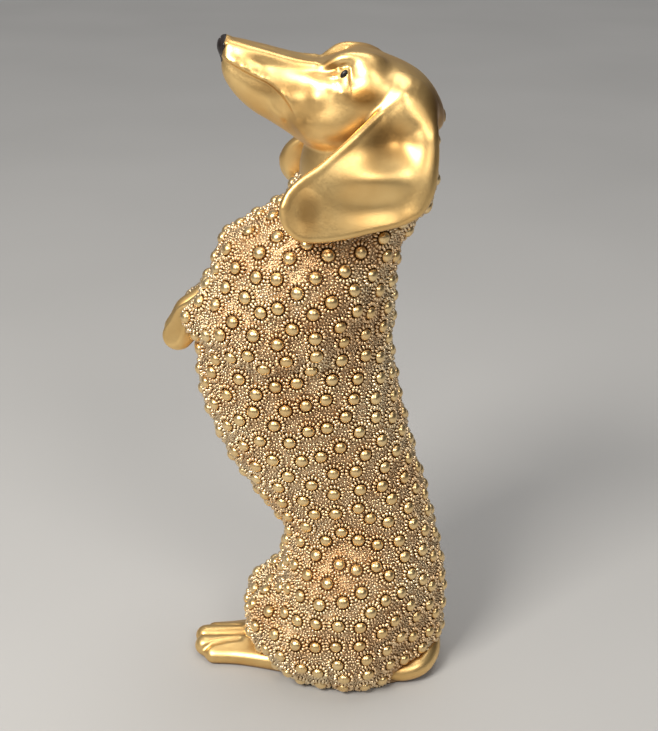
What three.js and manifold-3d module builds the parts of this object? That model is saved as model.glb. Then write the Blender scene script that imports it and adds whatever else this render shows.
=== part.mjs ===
// Sitting-up dachshund figurine, cast in one piece: smooth head, ears, paws, feet and tail,
// and a coat of domed studs over the body. Millimetres, +Z up, the dog looks along -Y.
import * as THREE from 'three';
import Module from 'manifold-3d';

// Overall sizes
const STATUE_HEIGHT = 250;
const CHEST_WIDTH = 54;
const SHOULDER_WIDTH = 63;
const HAUNCH_WIDTH = 71;
const HEAD_WIDTH = 40;
const MUZZLE_WIDTH = 18;

// Ears
const EAR_SPREAD = 74;
const EAR_THICKNESS = 4.6;
const EAR_RIM_DIAMETER = 2.6;
const EAR_HOLLOW_DEPTH = 3.2;

// Paws, feet and tail
const PAW_WIDTH = 9;
const PAW_DEPTH = 11.5;
const FOOT_WIDTH = 12.6;
const TAIL_DIAMETER = 9.6;
const TAIL_TIP_DIAMETER = 6.4;

// Carving of the face
const SOCKET_DEPTH = 1.9;
const LIP_RISE = 0.7;
const JAW_DROP = 0.8;

// Coat of studs
const COAT_RISE = 0.8;
const STUD_DIAMETER = 4.6;
const STUD_RISE = 1.6;
const STUD_PITCH = 10.5;
const STUD_SIDES = 5;
const STUD_ROOT_DEPTH = 0.6;
const STUD_CLEARANCE = 1.2;

// Size of the cells that the form is traced with, and the faces kept for it
const CELL = 2.3;
const FORM_FACES = 3300;
const STATUE_FACES = 9850;

// The landmarks below are read on a figure of this height, and scale with the statue
const LANDMARK_HEIGHT = 250;
const S = STATUE_HEIGHT / LANDMARK_HEIGHT;
const scaled = (rows) => rows.map((row) => row.map((value) => value * S));

// Body by height: height, front, back, and half width as a share of half the chest width
const BODY_STATIONS = [
  [-12, -14, 44.4, 0.92],
  [0, -16, 46.2, 0.94],
  [12, -17, 46.8, 0.94],
  [26, -17, 47.1, 0.92],
  [40, -16, 46.4, 0.88],
  [52, -15.6, 43.8, 0.84],
  [63, -16.2, 41.1, 0.83],
  [77, -25.5, 37.5, 0.85],
  [91, -34.9, 33.0, 0.9],
  [105, -41.9, 29.3, 0.94],
  [120, -46.7, 25.4, 0.97],
  [140, -48.2, 22.1, 0.98],
  [155, -46.4, 22.6, 1],
  [166, -43, 22.6, 0.99],
  [174, -40.2, 23.5, 0.96],
  [181, -36.6, 26.1, 0.9],
  [187, -25.8, 29.8, 0.83],
  [194, -16.0, 34.7, 0.75],
  [202, -11.5, 36.0, 0.7],
  [212, -10.2, 36.0, 0.67],
  [222, -9, 34.0, 0.62],
];
const BODY_ROUNDNESS = 2.25;
// The coat stops along this slope under the head: height at y = 0, and rise for each mm back
const COLLAR_HEIGHT = 205;
const COLLAR_SLOPE = 0.3;

// Head by length: y, top, bottom, and half width as a share of half the head or muzzle width
const HEAD_STATIONS = [
  [-38.6, 243.5, 240.5, 0.12],
  [-37.9, 247.0, 237.2, 0.5],
  [-36.2, 249.3, 233.8, 0.74],
  [-33, 249.4, 229.6, 0.86],
  [-28, 248.4, 225.2, 0.96],
  [-22, 247.0, 221.6, 1.05],
  [-16, 245.3, 217.8, 1.22],
  [-10, 243.6, 213.8, 1.5],
  [-4, 243.0, 211.8, 1.78],
  [2, 245.0, 211.2, 1.97],
  [8, 246.6, 211.6, 2.1],
  [14, 245.8, 212.4, 2.18],
  [20, 243.8, 213.6, 2.2],
  [26, 241.2, 215.0, 2.12],
  [31, 238.0, 216.4, 1.9],
  [35, 233.6, 218.0, 1.5],
  [37.6, 229.0, 219.6, 0.95],
  [38.8, 225.6, 221.6, 0.4],
];
const HEAD_ROUNDNESS = 2.35;
// Where the widths change over from the muzzle's to the head's, along y
const MUZZLE_END = -16;
const SKULL_START = 10;
const SKULL_SHARE = 2.2;
// The ends of the head along y, and how much narrower the jaw is at its bottom
const HEAD_ENDS = [-38.4, 39.2];
const JAW_TAPER = 0.16;

// Outline of an ear seen from the side: y and height
const EAR_OUTLINE = [
  [25, 236], [18.7, 231.4], [13.1, 227.6], [4.8, 221], [-3.5, 214.4], [-10.8, 209.6],
  [-15.6, 205.6], [-18.6, 200.6], [-18, 194.6], [-13.4, 189.4], [-7, 188], [2, 188.6],
  [12, 190.4], [23.6, 192.8], [30.4, 197], [33.6, 202.6], [34.8, 210], [35, 219], [33.5, 228],
];
const EAR_ROOT = [24, 234];
const EAR_TIP = [-17, 197];
// Share of the sideways distance that counts across the leaf, which leans a little
const EAR_LEAN = 0.93;

const { clamp } = THREE.MathUtils;

// Stands for any distance too long to matter
const FAR = 25 * S;

// Smooth curve through stations: each row is a position and the values there
function curveThrough(stations) {
  const last = stations.length - 1;
  const slopes = stations.map((row, i) => {
    const before = stations[Math.max(i - 1, 0)];
    const after = stations[Math.min(i + 1, last)];
    return row.map((_, c) => (after[c] - before[c]) / (after[0] - before[0]));
  });
  return (position) => {
    const t = clamp(position, stations[0][0], stations[last][0]);
    let i = 0;
    while (i < last - 1 && t > stations[i + 1][0]) i += 1;
    const width = stations[i + 1][0] - stations[i][0];
    const u = (t - stations[i][0]) / width;
    const fromStart = 1 - u * u * (3 - 2 * u);
    const outOfStart = u * (1 - u) * (1 - u) * width;
    const intoEnd = u * u * (u - 1) * width;
    return stations[i].slice(1).map((value, c) => (
      fromStart * value + (1 - fromStart) * stations[i + 1][c + 1]
      + outOfStart * slopes[i][c + 1] + intoEnd * slopes[i + 1][c + 1]));
  };
}

// Centripetal curve through rows of any length, with the given steps in each span
function smoothPath(rows, steps, closed = false) {
  const count = rows.length;
  const rowAt = (i) => {
    if (closed) return rows[(i + count) % count];
    if (i < 0) return rows[0].map((value, c) => 2 * value - rows[1][c]);
    if (i >= count) return rows[count - 1].map((value, c) => 2 * value - rows[count - 2][c]);
    return rows[i];
  };
  const mix = (a, b, from, to, t) => (
    a.map((value, c) => ((to - t) * value + (t - from) * b[c]) / (to - from)));
  const path = [];
  for (let i = 0; i < (closed ? count : count - 1); i += 1) {
    const near = [i - 1, i, i + 1, i + 2].map(rowAt);
    const knots = [0];
    for (let j = 0; j < 3; j += 1) {
      knots.push(knots[j] + Math.hypot(...near[j].map((value, c) => near[j + 1][c] - value)) ** 0.5);
    }
    for (let step = 0; step < steps; step += 1) {
      const t = knots[1] + (knots[2] - knots[1]) * step / steps;
      const first = [0, 1, 2].map((j) => mix(near[j], near[j + 1], knots[j], knots[j + 1], t));
      const second = [0, 1].map((j) => mix(first[j], first[j + 1], knots[j], knots[j + 2], t));
      path.push(mix(second[0], second[1], knots[1], knots[2], t));
    }
  }
  if (!closed) path.push(rows[count - 1]);
  return path;
}

// Smooth step from 0 at 0 to 1 at 1
const ease = (value) => THREE.MathUtils.smoothstep(value, 0, 1);

// Join and overlap of two distances, rounded over a width k
function blend(a, b, k) {
  const h = Math.max(k - Math.abs(a - b), 0) / k;
  return Math.min(a, b) - h * h * k / 4;
}
const overlap = (a, b, k) => -blend(-a, -b, k);

// Distance from a rounded outline with the given half sizes
function fromOutline(u, v, halfU, halfV, power) {
  const a = Math.abs(u) / halfU;
  const b = Math.abs(v) / halfV;
  const r = (a ** power + b ** power) ** (1 / power);
  if (r < 0.05) return -Math.min(halfU, halfV);
  const steep = r ** (1 - power) * Math.hypot(a ** (power - 1) / halfU, b ** (power - 1) / halfV);
  return (r - 1) / steep;
}

// Distance from an ellipsoid, given as centre and radii
function fromEllipsoid([x, y, z], [cx, cy, cz], [rx, ry, rz]) {
  const r = Math.hypot((x - cx) / rx, (y - cy) / ry, (z - cz) / rz);
  if (r < 0.05) return -Math.min(rx, ry, rz);
  const steep = Math.hypot((x - cx) / rx ** 2, (y - cy) / ry ** 2, (z - cz) / rz ** 2) / r;
  return (r - 1) / steep;
}

// Distance from a limb: round sections of changing radius along a path of x, y, z, radius
function fromLimb([x, y, z], path, k) {
  let nearest = Infinity;
  for (let i = 0; i + 1 < path.length; i += 1) {
    const [ax, ay, az, ar] = path[i];
    const [bx, by, bz, br] = path[i + 1];
    const [dx, dy, dz] = [bx - ax, by - ay, bz - az];
    const along = ((x - ax) * dx + (y - ay) * dy + (z - az) * dz) / (dx * dx + dy * dy + dz * dz);
    const t = clamp(along, 0, 1);
    const away = Math.hypot(x - ax - t * dx, y - ay - t * dy, z - az - t * dz);
    const distance = away - ar - t * (br - ar);
    nearest = i ? blend(nearest, distance, k) : distance;
  }
  return nearest;
}

// Signed distance from a closed outline in the plane, negative inside
function fromPolygon(u, v, outline) {
  let nearest = Infinity;
  let inside = false;
  for (let i = 0, j = outline.length - 1; i < outline.length; j = i, i += 1) {
    const [au, av] = outline[j];
    const [bu, bv] = outline[i];
    const t = clamp(((u - au) * (bu - au) + (v - av) * (bv - av))
      / ((bu - au) ** 2 + (bv - av) ** 2), 0, 1);
    nearest = Math.min(nearest, Math.hypot(u - au - t * (bu - au), v - av - t * (bv - av)));
    if (av > v !== bv > v && u < (bu - au) * (v - av) / (bv - av) + au) inside = !inside;
  }
  return inside ? -nearest : nearest;
}

// Signed distance from an open line in the side view, positive on its upper side
function besideLine(y, z, line) {
  let nearest = Infinity;
  for (let i = 0; i + 1 < line.length; i += 1) {
    const [ay, az] = line[i];
    const [dy, dz] = [line[i + 1][0] - ay, line[i + 1][1] - az];
    const t = clamp(((y - ay) * dy + (z - az) * dz) / (dy * dy + dz * dz), 0, 1);
    const away = Math.hypot(y - ay - t * dy, z - az - t * dz);
    const upper = dy * (z - az) - dz * (y - ay) > 0;
    if (away < Math.abs(nearest)) nearest = upper ? away : -away;
  }
  return nearest;
}

// Body, haunches and arms, which carry the coat
const bodyAt = curveThrough(BODY_STATIONS.map(([z, front, back, share]) => (
  [z * S, front * S, back * S, share * CHEST_WIDTH / 2])));
const HIP_RADIUS = 16.4 * S;
const THIGH = [
  [HAUNCH_WIDTH / 2 - HIP_RADIUS, 9 * S, 16 * S, HIP_RADIUS],
  [15.5 * S, -6 * S, 18.5 * S, 16.4 * S],
  [8.2 * S, -16.6 * S, 20.6 * S, 14.8 * S],
];
const THIGH_RADII = [20.3 * S, 24 * S, 27 * S];
const THIGH_CENTRE = [HAUNCH_WIDTH / 2 - THIGH_RADII[0], 8 * S, 34 * S];
const THIGH_TOP = 90 * S;
const ARM_RADIUS = 11.8 * S;
const ARM_X = SHOULDER_WIDTH / 2 - ARM_RADIUS;
const SHOULDER_CENTRE = [ARM_X - 0.7 * S, -8 * S, 162 * S];
const SHOULDER_RADII = [ARM_RADIUS + 0.7 * S, 17 * S, 17 * S];
const FOREARM = smoothPath([
  [ARM_X, -9 * S, 148.5 * S, ARM_RADIUS],
  [ARM_X - 1 * S, -23 * S, 146.5 * S, ARM_RADIUS - 0.4 * S],
  [14 * S, -35.5 * S, 148.4 * S, 9 * S],
  [PAW_WIDTH / 2 + 2.8 * S, -44 * S, 151.4 * S, PAW_DEPTH / 2 + 0.2 * S],
], 2);
// Nothing of the coat is above this height
const COAT_END = 235 * S;
// Where the arms can be, by height, and where they grow out of the body smoothly
const [ARM_LOW, ARM_HIGH] = [112 * S, 200 * S];
const [ELBOW_HEIGHT, SHOULDER_HEIGHT] = [144 * S, 162 * S];
const [CREASE_BLEND, SHOULDER_BLEND] = [6 * S, 10 * S];
const THIGH_BLEND = 9 * S;

function coatDistance([x, y, z]) {
  const side = [Math.abs(x), y, z];
  if (z > COAT_END) return FAR;
  const [front, back, halfWidth] = bodyAt(z);
  const middle = (front + back) / 2;
  let d = fromOutline(x, y - middle, halfWidth, (back - front) / 2, BODY_ROUNDNESS);
  const collar = z - (COLLAR_HEIGHT * S + COLLAR_SLOPE * y);
  d = overlap(d, collar, 2 * S);
  if (z < THIGH_TOP) {
    const thigh = blend(fromLimb(side, THIGH, 6 * S),
      fromEllipsoid(side, THIGH_CENTRE, THIGH_RADII), 5 * S);
    return blend(d, thigh, THIGH_BLEND) - COAT_RISE;
  }
  if (z < ARM_LOW || z > ARM_HIGH) return d - COAT_RISE;
  const arm = blend(fromEllipsoid(side, SHOULDER_CENTRE, SHOULDER_RADII),
    fromLimb(side, FOREARM, 1 * S), 4 * S);
  const width = CREASE_BLEND + (SHOULDER_BLEND - CREASE_BLEND)
    * ease((z - ELBOW_HEIGHT) / (SHOULDER_HEIGHT - ELBOW_HEIGHT));
  return blend(d, arm, width) - COAT_RISE;
}

// Head with muzzle, brows, eye sockets and mouth
const headAt = curveThrough(HEAD_STATIONS.map(([y, top, bottom, share]) => {
  const towardSkull = clamp((y - MUZZLE_END) / (SKULL_START - MUZZLE_END), 0, 1);
  const muzzleHalf = share * MUZZLE_WIDTH / 2;
  const skullHalf = share / SKULL_SHARE * HEAD_WIDTH / 2;
  const half = muzzleHalf + (skullHalf - muzzleHalf) * towardSkull;
  return [y * S, top * S, bottom * S, half];
}));
const HEAD_LOW = 165 * S;
const HEAD_SPAN = HEAD_ENDS.map((y) => y * S);
// How far from the head's surface its brows, nose and carving reach
const FACE_DEPTH = 6 * S;
const BROW = smoothPath(scaled([
  [5.5, -4.5, 240.4, 2.4], [9.2, 0.4, 242.2, 2.6], [11, 4.6, 244.1, 2.7], [10.6, 9.5, 243.6, 3],
  [9, 14, 242, 3],
]), 2);
const MUZZLE_EDGE = smoothPath(scaled([
  [3.2, -36, 247.6, 1.5], [4.9, -30, 246.2, 1.6], [5.8, -24.4, 245, 1.7], [6.2, -19, 243.6, 1.7],
  [6.8, -13, 242.2, 1.7], [8, -6.5, 241.6, 1.6],
]), 1);
const NOSE_CENTRE = [0, -36.8 * S, 246.9 * S];
const NOSE_RADII = [3.9 * S, 2.9 * S, 3.8 * S];
const CHEEK_CENTRE = [8.6 * S, 3 * S, 221.5 * S];
const CHEEK_RADII = [9.8 * S, 14 * S, 9.8 * S];
const THROAT = scaled([[0, 9, 224, 17], [0, 5.5, 205, 16.5], [0, 8, 192, 16]]);
// Lines of the face in the side view: y and height
const SOCKET_EDGE = smoothPath(scaled([
  [4.6, 231.5], [4.3, 236], [4.3, 241], [3.9, 244.2], [2, 245.4]]), 2);
const SOCKET_HEIGHT = 240 * S;
const SOCKET_REACH = 5.5 * S;
const MOUTH = smoothPath(scaled([
  [-37.5, 243.6], [-32.5, 241], [-27.1, 238.2], [-22.4, 236.1], [-18.4, 232.9], [-15.6, 229.6],
  [-13.4, 225.6]]), 2);
const MOUTH_SPAN = [-39.5 * S, -12 * S];
const LIP_WIDTH = 2.6 * S;
const JAW_WIDTH = 3.4 * S;
// Width of the step between lip and jaw, which the traced cells can still follow
const LIP_EDGE = 3.4;

// How far the face stands out of the plain head, along the socket's edge and the mouth
function faceRelief([side, y, z]) {
  const behind = Math.max(-besideLine(y, z, SOCKET_EDGE), 0);
  const window = Math.exp(-(((z - SOCKET_HEIGHT) / SOCKET_REACH) ** 4) - (behind / SOCKET_REACH) ** 2);
  const socket = -SOCKET_DEPTH * ease(behind / (0.9 * S)) * window * ease(side / (4 * S) - 1.5);
  const above = besideLine(y, z, MOUTH) / S;
  const lip = LIP_RISE * Math.exp(-((above * S / LIP_WIDTH) ** 2)) * ease(above / LIP_EDGE + 0.5);
  const jaw = -JAW_DROP * Math.exp(-((above * S / JAW_WIDTH) ** 2)) * ease(0.5 - above / LIP_EDGE);
  const along = ease((y - MOUTH_SPAN[0]) / (3 * S)) * ease((MOUTH_SPAN[1] - y) / (4 * S));
  return socket + (lip + jaw) * along * ease((side / S - 0.5) / 2.5);
}

function headDistance([x, y, z]) {
  const side = [Math.abs(x), y, z];
  if (z < HEAD_LOW) return FAR;
  const [top, bottom, halfWidth] = headAt(y);
  const middle = (top + bottom) / 2;
  const low = clamp((middle - z) / (middle - bottom), 0, 1);
  const jawHalf = halfWidth * (1 - JAW_TAPER * low * low);
  let d = fromOutline(x, z - middle, jawHalf, (top - bottom) / 2, HEAD_ROUNDNESS);
  d = Math.max(d, HEAD_SPAN[0] - y, y - HEAD_SPAN[1]);
  d = blend(d, fromEllipsoid(side, CHEEK_CENTRE, CHEEK_RADII), 4 * S);
  if (Math.abs(d) < FACE_DEPTH) {
    d = blend(d, fromLimb(side, BROW, 1 * S), 2.2 * S);
    d = blend(d, fromLimb(side, MUZZLE_EDGE, 1 * S), 1.6 * S);
    d = blend(d, fromEllipsoid(side, NOSE_CENTRE, NOSE_RADII), 1.2 * S);
    d -= faceRelief(side);
  }
  return blend(d, fromLimb(side, THROAT, 2 * S), 0.9 * S);
}

// Ears: a curved leaf that hangs from the skull and swings out towards its tip
const earOutline = smoothPath(scaled(EAR_OUTLINE), 3, true);
const EAR_ROOT_X = HEAD_WIDTH / 2 + 0.2 * S;
const EAR_TIP_X = (EAR_SPREAD - EAR_THICKNESS) / 2;
// Hollows and swells of an ear: y, height, reach along each, and rise as a share of the depth
const EAR_SPOTS = [
  [21, 220, 8.5, 7.5, -1.15], [13.5, 206, 11, 6, 0.8], [-11, 198, 4.2, 5.5, -0.45],
  [-1, 197, 9, 5, 0.2], [29, 196, 4, 6, -0.35],
];
const EAR_RIDGE = smoothPath(scaled([[24, 231], [28.5, 224], [30.5, 214], [30.3, 204], [27.5, 197]]), 2);
const EAR_RIDGE_SHARE = 0.45;
const EAR_RIDGE_WIDTH = 2.6 * S;
// The ear's top lies against the narrowing skull
const EAR_TUCK = 5 * S;
const [TUCK_START, TUCK_SPAN] = [220 * S, 16 * S];

function earMiddle(y, z) {
  const down = (EAR_ROOT[1] * S - z) / ((EAR_ROOT[1] - EAR_TIP[1]) * S);
  const forward = (EAR_ROOT[0] * S - y) / ((EAR_ROOT[0] - EAR_TIP[0]) * S);
  const hang = EAR_ROOT_X + (EAR_TIP_X - EAR_ROOT_X) * (0.6 * down + 0.4 * forward);
  const ridge = EAR_RIDGE_SHARE * Math.exp(-((besideLine(y, z, EAR_RIDGE) / EAR_RIDGE_WIDTH) ** 2));
  const relief = EAR_SPOTS.reduce((sum, [cy, cz, wide, tall, rise]) => (
    sum + rise * Math.exp(-(((y / S - cy) / wide) ** 2) - ((z / S - cz) / tall) ** 2)), ridge);
  return hang + EAR_HOLLOW_DEPTH * relief - EAR_TUCK * ease((z - TUCK_START) / TUCK_SPAN);
}

const EAR_FRONT = smoothPath(scaled([
  [22.5, 233.4], [16, 229], [9, 223.6], [2, 217.8], [-5, 212.2], [-11.5, 208], [-15.4, 204.2],
  [-17.2, 200]]), 2);
const EAR_RIM = EAR_FRONT.map(([y, z]) => (
  [earMiddle(y, z) + EAR_RIM_DIAMETER / 2, y, z, EAR_RIM_DIAMETER / 2]));

function earDistance([x, y, z]) {
  const side = [Math.abs(x), y, z];
  if (z < HEAD_LOW + 10 * S) return FAR;
  const edge = EAR_THICKNESS / 2;
  const across = Math.abs(side[0] - earMiddle(y, z)) * EAR_LEAN;
  if (across > 4 * edge) return across - edge;
  const inPlane = fromPolygon(y, z, earOutline) + edge;
  const leaf = Math.hypot(Math.max(inPlane, 0), across) - edge;
  return blend(leaf, fromLimb(side, EAR_RIM, 0.6 * S), 1 * S);
}

// Paws, feet and tail
const PAW = [[4.8, -46, 153.6, 0.96], [4.4, -51.6, 148.4, 1.02], [3.9, -56.2, 142.4, 0.94]]
  .map(([x, y, z, share]) => [x * S, y * S, z * S, share * PAW_DEPTH / 2]);
// Flats that face outwards on a paw: a point on each and its direction
const PAW_FACETS = [
  [[8.2, -54.6, 144.6], [0.86, -0.46, 0.22]],
  [[8.5, -54.4, 144.3], [0.93, 0.33, -0.12]],
].map(([at, out]) => [at.map((value) => value * S), out]);
const toePath = (rows) => smoothPath(rows.map(([share, y, z, radius]) => (
  [share * FOOT_WIDTH, y * S, z * S, radius * S])), 2);
const INNER_TOES = toePath([
  [0.27, -49.6, 4.4, 4.2], [0.31, -36, 4.5, 4.3], [0.5, -20, 4.4, 5], [0.75, -5, 4.4, 5.4]]);
const OUTER_TOES = toePath([
  [0.69, -45.8, 3.1, 3.3], [0.75, -36, 3.2, 3.5], [1, -22, 3.3, 4], [1.4, -6, 3.6, 4.6]]);
const TAIL = smoothPath([
  [-4, 42, 7.8, 1], [5, 42.6, 7.8, 1], [13.5, 41.2, 6.9, 0.95], [19.6, 37.2, 5.4, 0.75],
  [22.2, 31, 4.2, 0.4], [21.6, 24.6, 3.4, 0]].map(([x, y, z, full]) => (
  [x * S, y * S, z * S, (TAIL_TIP_DIAMETER + (TAIL_DIAMETER - TAIL_TIP_DIAMETER) * full) / 2])), 3);

// The paws lie between these heights and in front of this depth; feet and tail end below
const [PAWS_LOW, PAWS_HIGH, PAWS_BACK] = [120 * S, 180 * S, -25 * S];
const FEET_HIGH = 30 * S;
// How much fuller the paws are than their facets leave them
const PAW_FULLNESS = 0.3 * S;

function pawDistance([x, y, z]) {
  if (z < PAWS_LOW || z > PAWS_HIGH || y > PAWS_BACK) return FAR;
  const side = Math.abs(x);
  const squash = PAW_DEPTH / PAW_WIDTH;
  const wide = PAW.map(([px, py, pz, r]) => [px * squash, py, pz, r + PAW_FULLNESS]);
  const round = fromLimb([side * squash, y, z], wide, 2 * S) / Math.sqrt(squash);
  return PAW_FACETS.reduce((d, [at, out]) => (
    overlap(d, (side - at[0]) * out[0] + (y - at[1]) * out[1] + (z - at[2]) * out[2], 0.6 * S)), round);
}

// Joins the ears to the head, softly at their roots
function faceDistance(point) {
  const [, y, z] = point;
  const atRoot = ease((z / S - 214) / 14) * ease((y / S - 14) / 10);
  return blend(headDistance(point), earDistance(point), (2 + 6 * atRoot) * S);
}

function smoothDistance(point) {
  const side = [Math.abs(point[0]), point[1], point[2]];
  const d = Math.min(faceDistance(point), pawDistance(point));
  if (point[2] > FEET_HIGH) return d;
  const foot = blend(fromLimb(side, INNER_TOES, 1 * S), fromLimb(side, OUTER_TOES, 1 * S), 4 * S);
  return Math.min(d, foot, fromLimb(point, TAIL, 1 * S));
}

const figureDistance = (point) => blend(smoothDistance(point), coatDistance(point), 1 * S);

// Direction in which a distance grows
function gradient(distance, [x, y, z]) {
  const step = 0.05 * S;
  return new THREE.Vector3(
    distance([x + step, y, z]) - distance([x - step, y, z]),
    distance([x, y + step, z]) - distance([x, y - step, z]),
    distance([x, y, z + step]) - distance([x, y, z - step]),
  ).divideScalar(2 * step);
}

// Moves a point onto the surface where the distance is zero
function ontoSurface(distance, point, limit) {
  const moved = [...point];
  for (let pass = 0; pass < 2; pass += 1) {
    const value = distance(moved);
    const slope = gradient(distance, moved);
    const stride = clamp(-value / Math.max(slope.length(), 0.3), -limit, limit);
    const direction = slope.normalize();
    moved[0] += direction.x * stride;
    moved[1] += direction.y * stride;
    moved[2] += direction.z * stride;
  }
  return moved;
}

// Traces the zero surface: every grid cell is six tetrahedra, each cut by one flat piece, and
// no cut is nearer to a grid point than a share of the edge
const NEAREST_SHARE = 0.08;
const TETRAHEDRA = [[0, 1, 3, 7], [0, 3, 2, 7], [0, 2, 6, 7], [0, 6, 4, 7], [0, 4, 5, 7], [0, 5, 1, 7]];
const isOdd = (order) => order.reduce((swaps, value, i) => (
  swaps + order.slice(i + 1).filter((later) => later < value).length), 0) % 2 === 1;

function traceSurface(distance, low, high, cell) {
  const counts = low.map((value, axis) => Math.ceil((high[axis] - value) / cell) + 1);
  const strides = [1, counts[0], counts[0] * counts[1]];
  const corner = (i, j, k) => [low[0] + i * cell, low[1] + j * cell, low[2] + k * cell];
  const values = new Float64Array(counts[0] * counts[1] * counts[2]);
  for (let k = 0; k < counts[2]; k += 1) {
    for (let j = 0; j < counts[1]; j += 1) {
      for (let i = 0; i < counts[0]; i += 1) {
        const atEdge = [i, j, k].some((index, axis) => index % (counts[axis] - 1) === 0);
        const value = distance(corner(i, j, k));
        const size = Math.max(Math.abs(value), NEAREST_SHARE * cell);
        values[i + j * strides[1] + k * strides[2]] = value < 0 && !atEdge ? -size : size;
      }
    }
  }
  const vertices = [];
  const faces = [];
  const known = new Map();
  const place = (node) => {
    const k = Math.floor(node / strides[2]);
    const j = Math.floor((node - k * strides[2]) / strides[1]);
    return corner(node - k * strides[2] - j * strides[1], j, k);
  };
  const crossing = (a, b) => {
    const key = Math.min(a, b) * values.length + Math.max(a, b);
    if (!known.has(key)) {
      const share = clamp(values[a] / (values[a] - values[b]), NEAREST_SHARE, 1 - NEAREST_SHARE);
      const from = place(a);
      const to = place(b);
      vertices.push(from.map((value, axis) => value + (to[axis] - value) * share));
      known.set(key, vertices.length - 1);
    }
    return known.get(key);
  };
  for (let k = 0; k < counts[2] - 1; k += 1) {
    for (let j = 0; j < counts[1] - 1; j += 1) {
      for (let i = 0; i < counts[0] - 1; i += 1) {
        const base = i + j * strides[1] + k * strides[2];
        const nodes = [0, 1, 2, 3, 4, 5, 6, 7].map((bits) => (
          base + (bits & 1) + ((bits >> 1) & 1) * strides[1] + (bits >> 2) * strides[2]));
        const insideCount = nodes.filter((node) => values[node] < 0).length;
        if (insideCount === 0 || insideCount === 8) continue;
        for (const corners of TETRAHEDRA) {
          const isInside = corners.map((index) => values[nodes[index]] < 0);
          const order = [0, 1, 2, 3].filter((i) => isInside[i]);
          const inside = order.length;
          if (inside === 0 || inside === 4) continue;
          order.push(...[0, 1, 2, 3].filter((i) => !isInside[i]));
          const [a, b, c, d] = order.map((i) => nodes[corners[i]]);
          let ring = [crossing(a, b), crossing(a, c), crossing(a, d)];
          if (inside === 2) ring = [crossing(a, c), crossing(a, d), crossing(b, d), crossing(b, c)];
          if (inside === 3) ring = [crossing(d, a), crossing(d, b), crossing(d, c)];
          if (isOdd(order)) ring.reverse();
          faces.push([ring[0], ring[1], ring[2]]);
          if (ring.length === 4) faces.push([ring[0], ring[2], ring[3]]);
        }
      }
    }
  }
  return { vertices, faces };
}

// Faces may not get slimmer than this share, nor turn further than this cosine, when edges merge
const SLIMMEST = 0.04;
const STEEPEST_TURN = 0.3;

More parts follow.
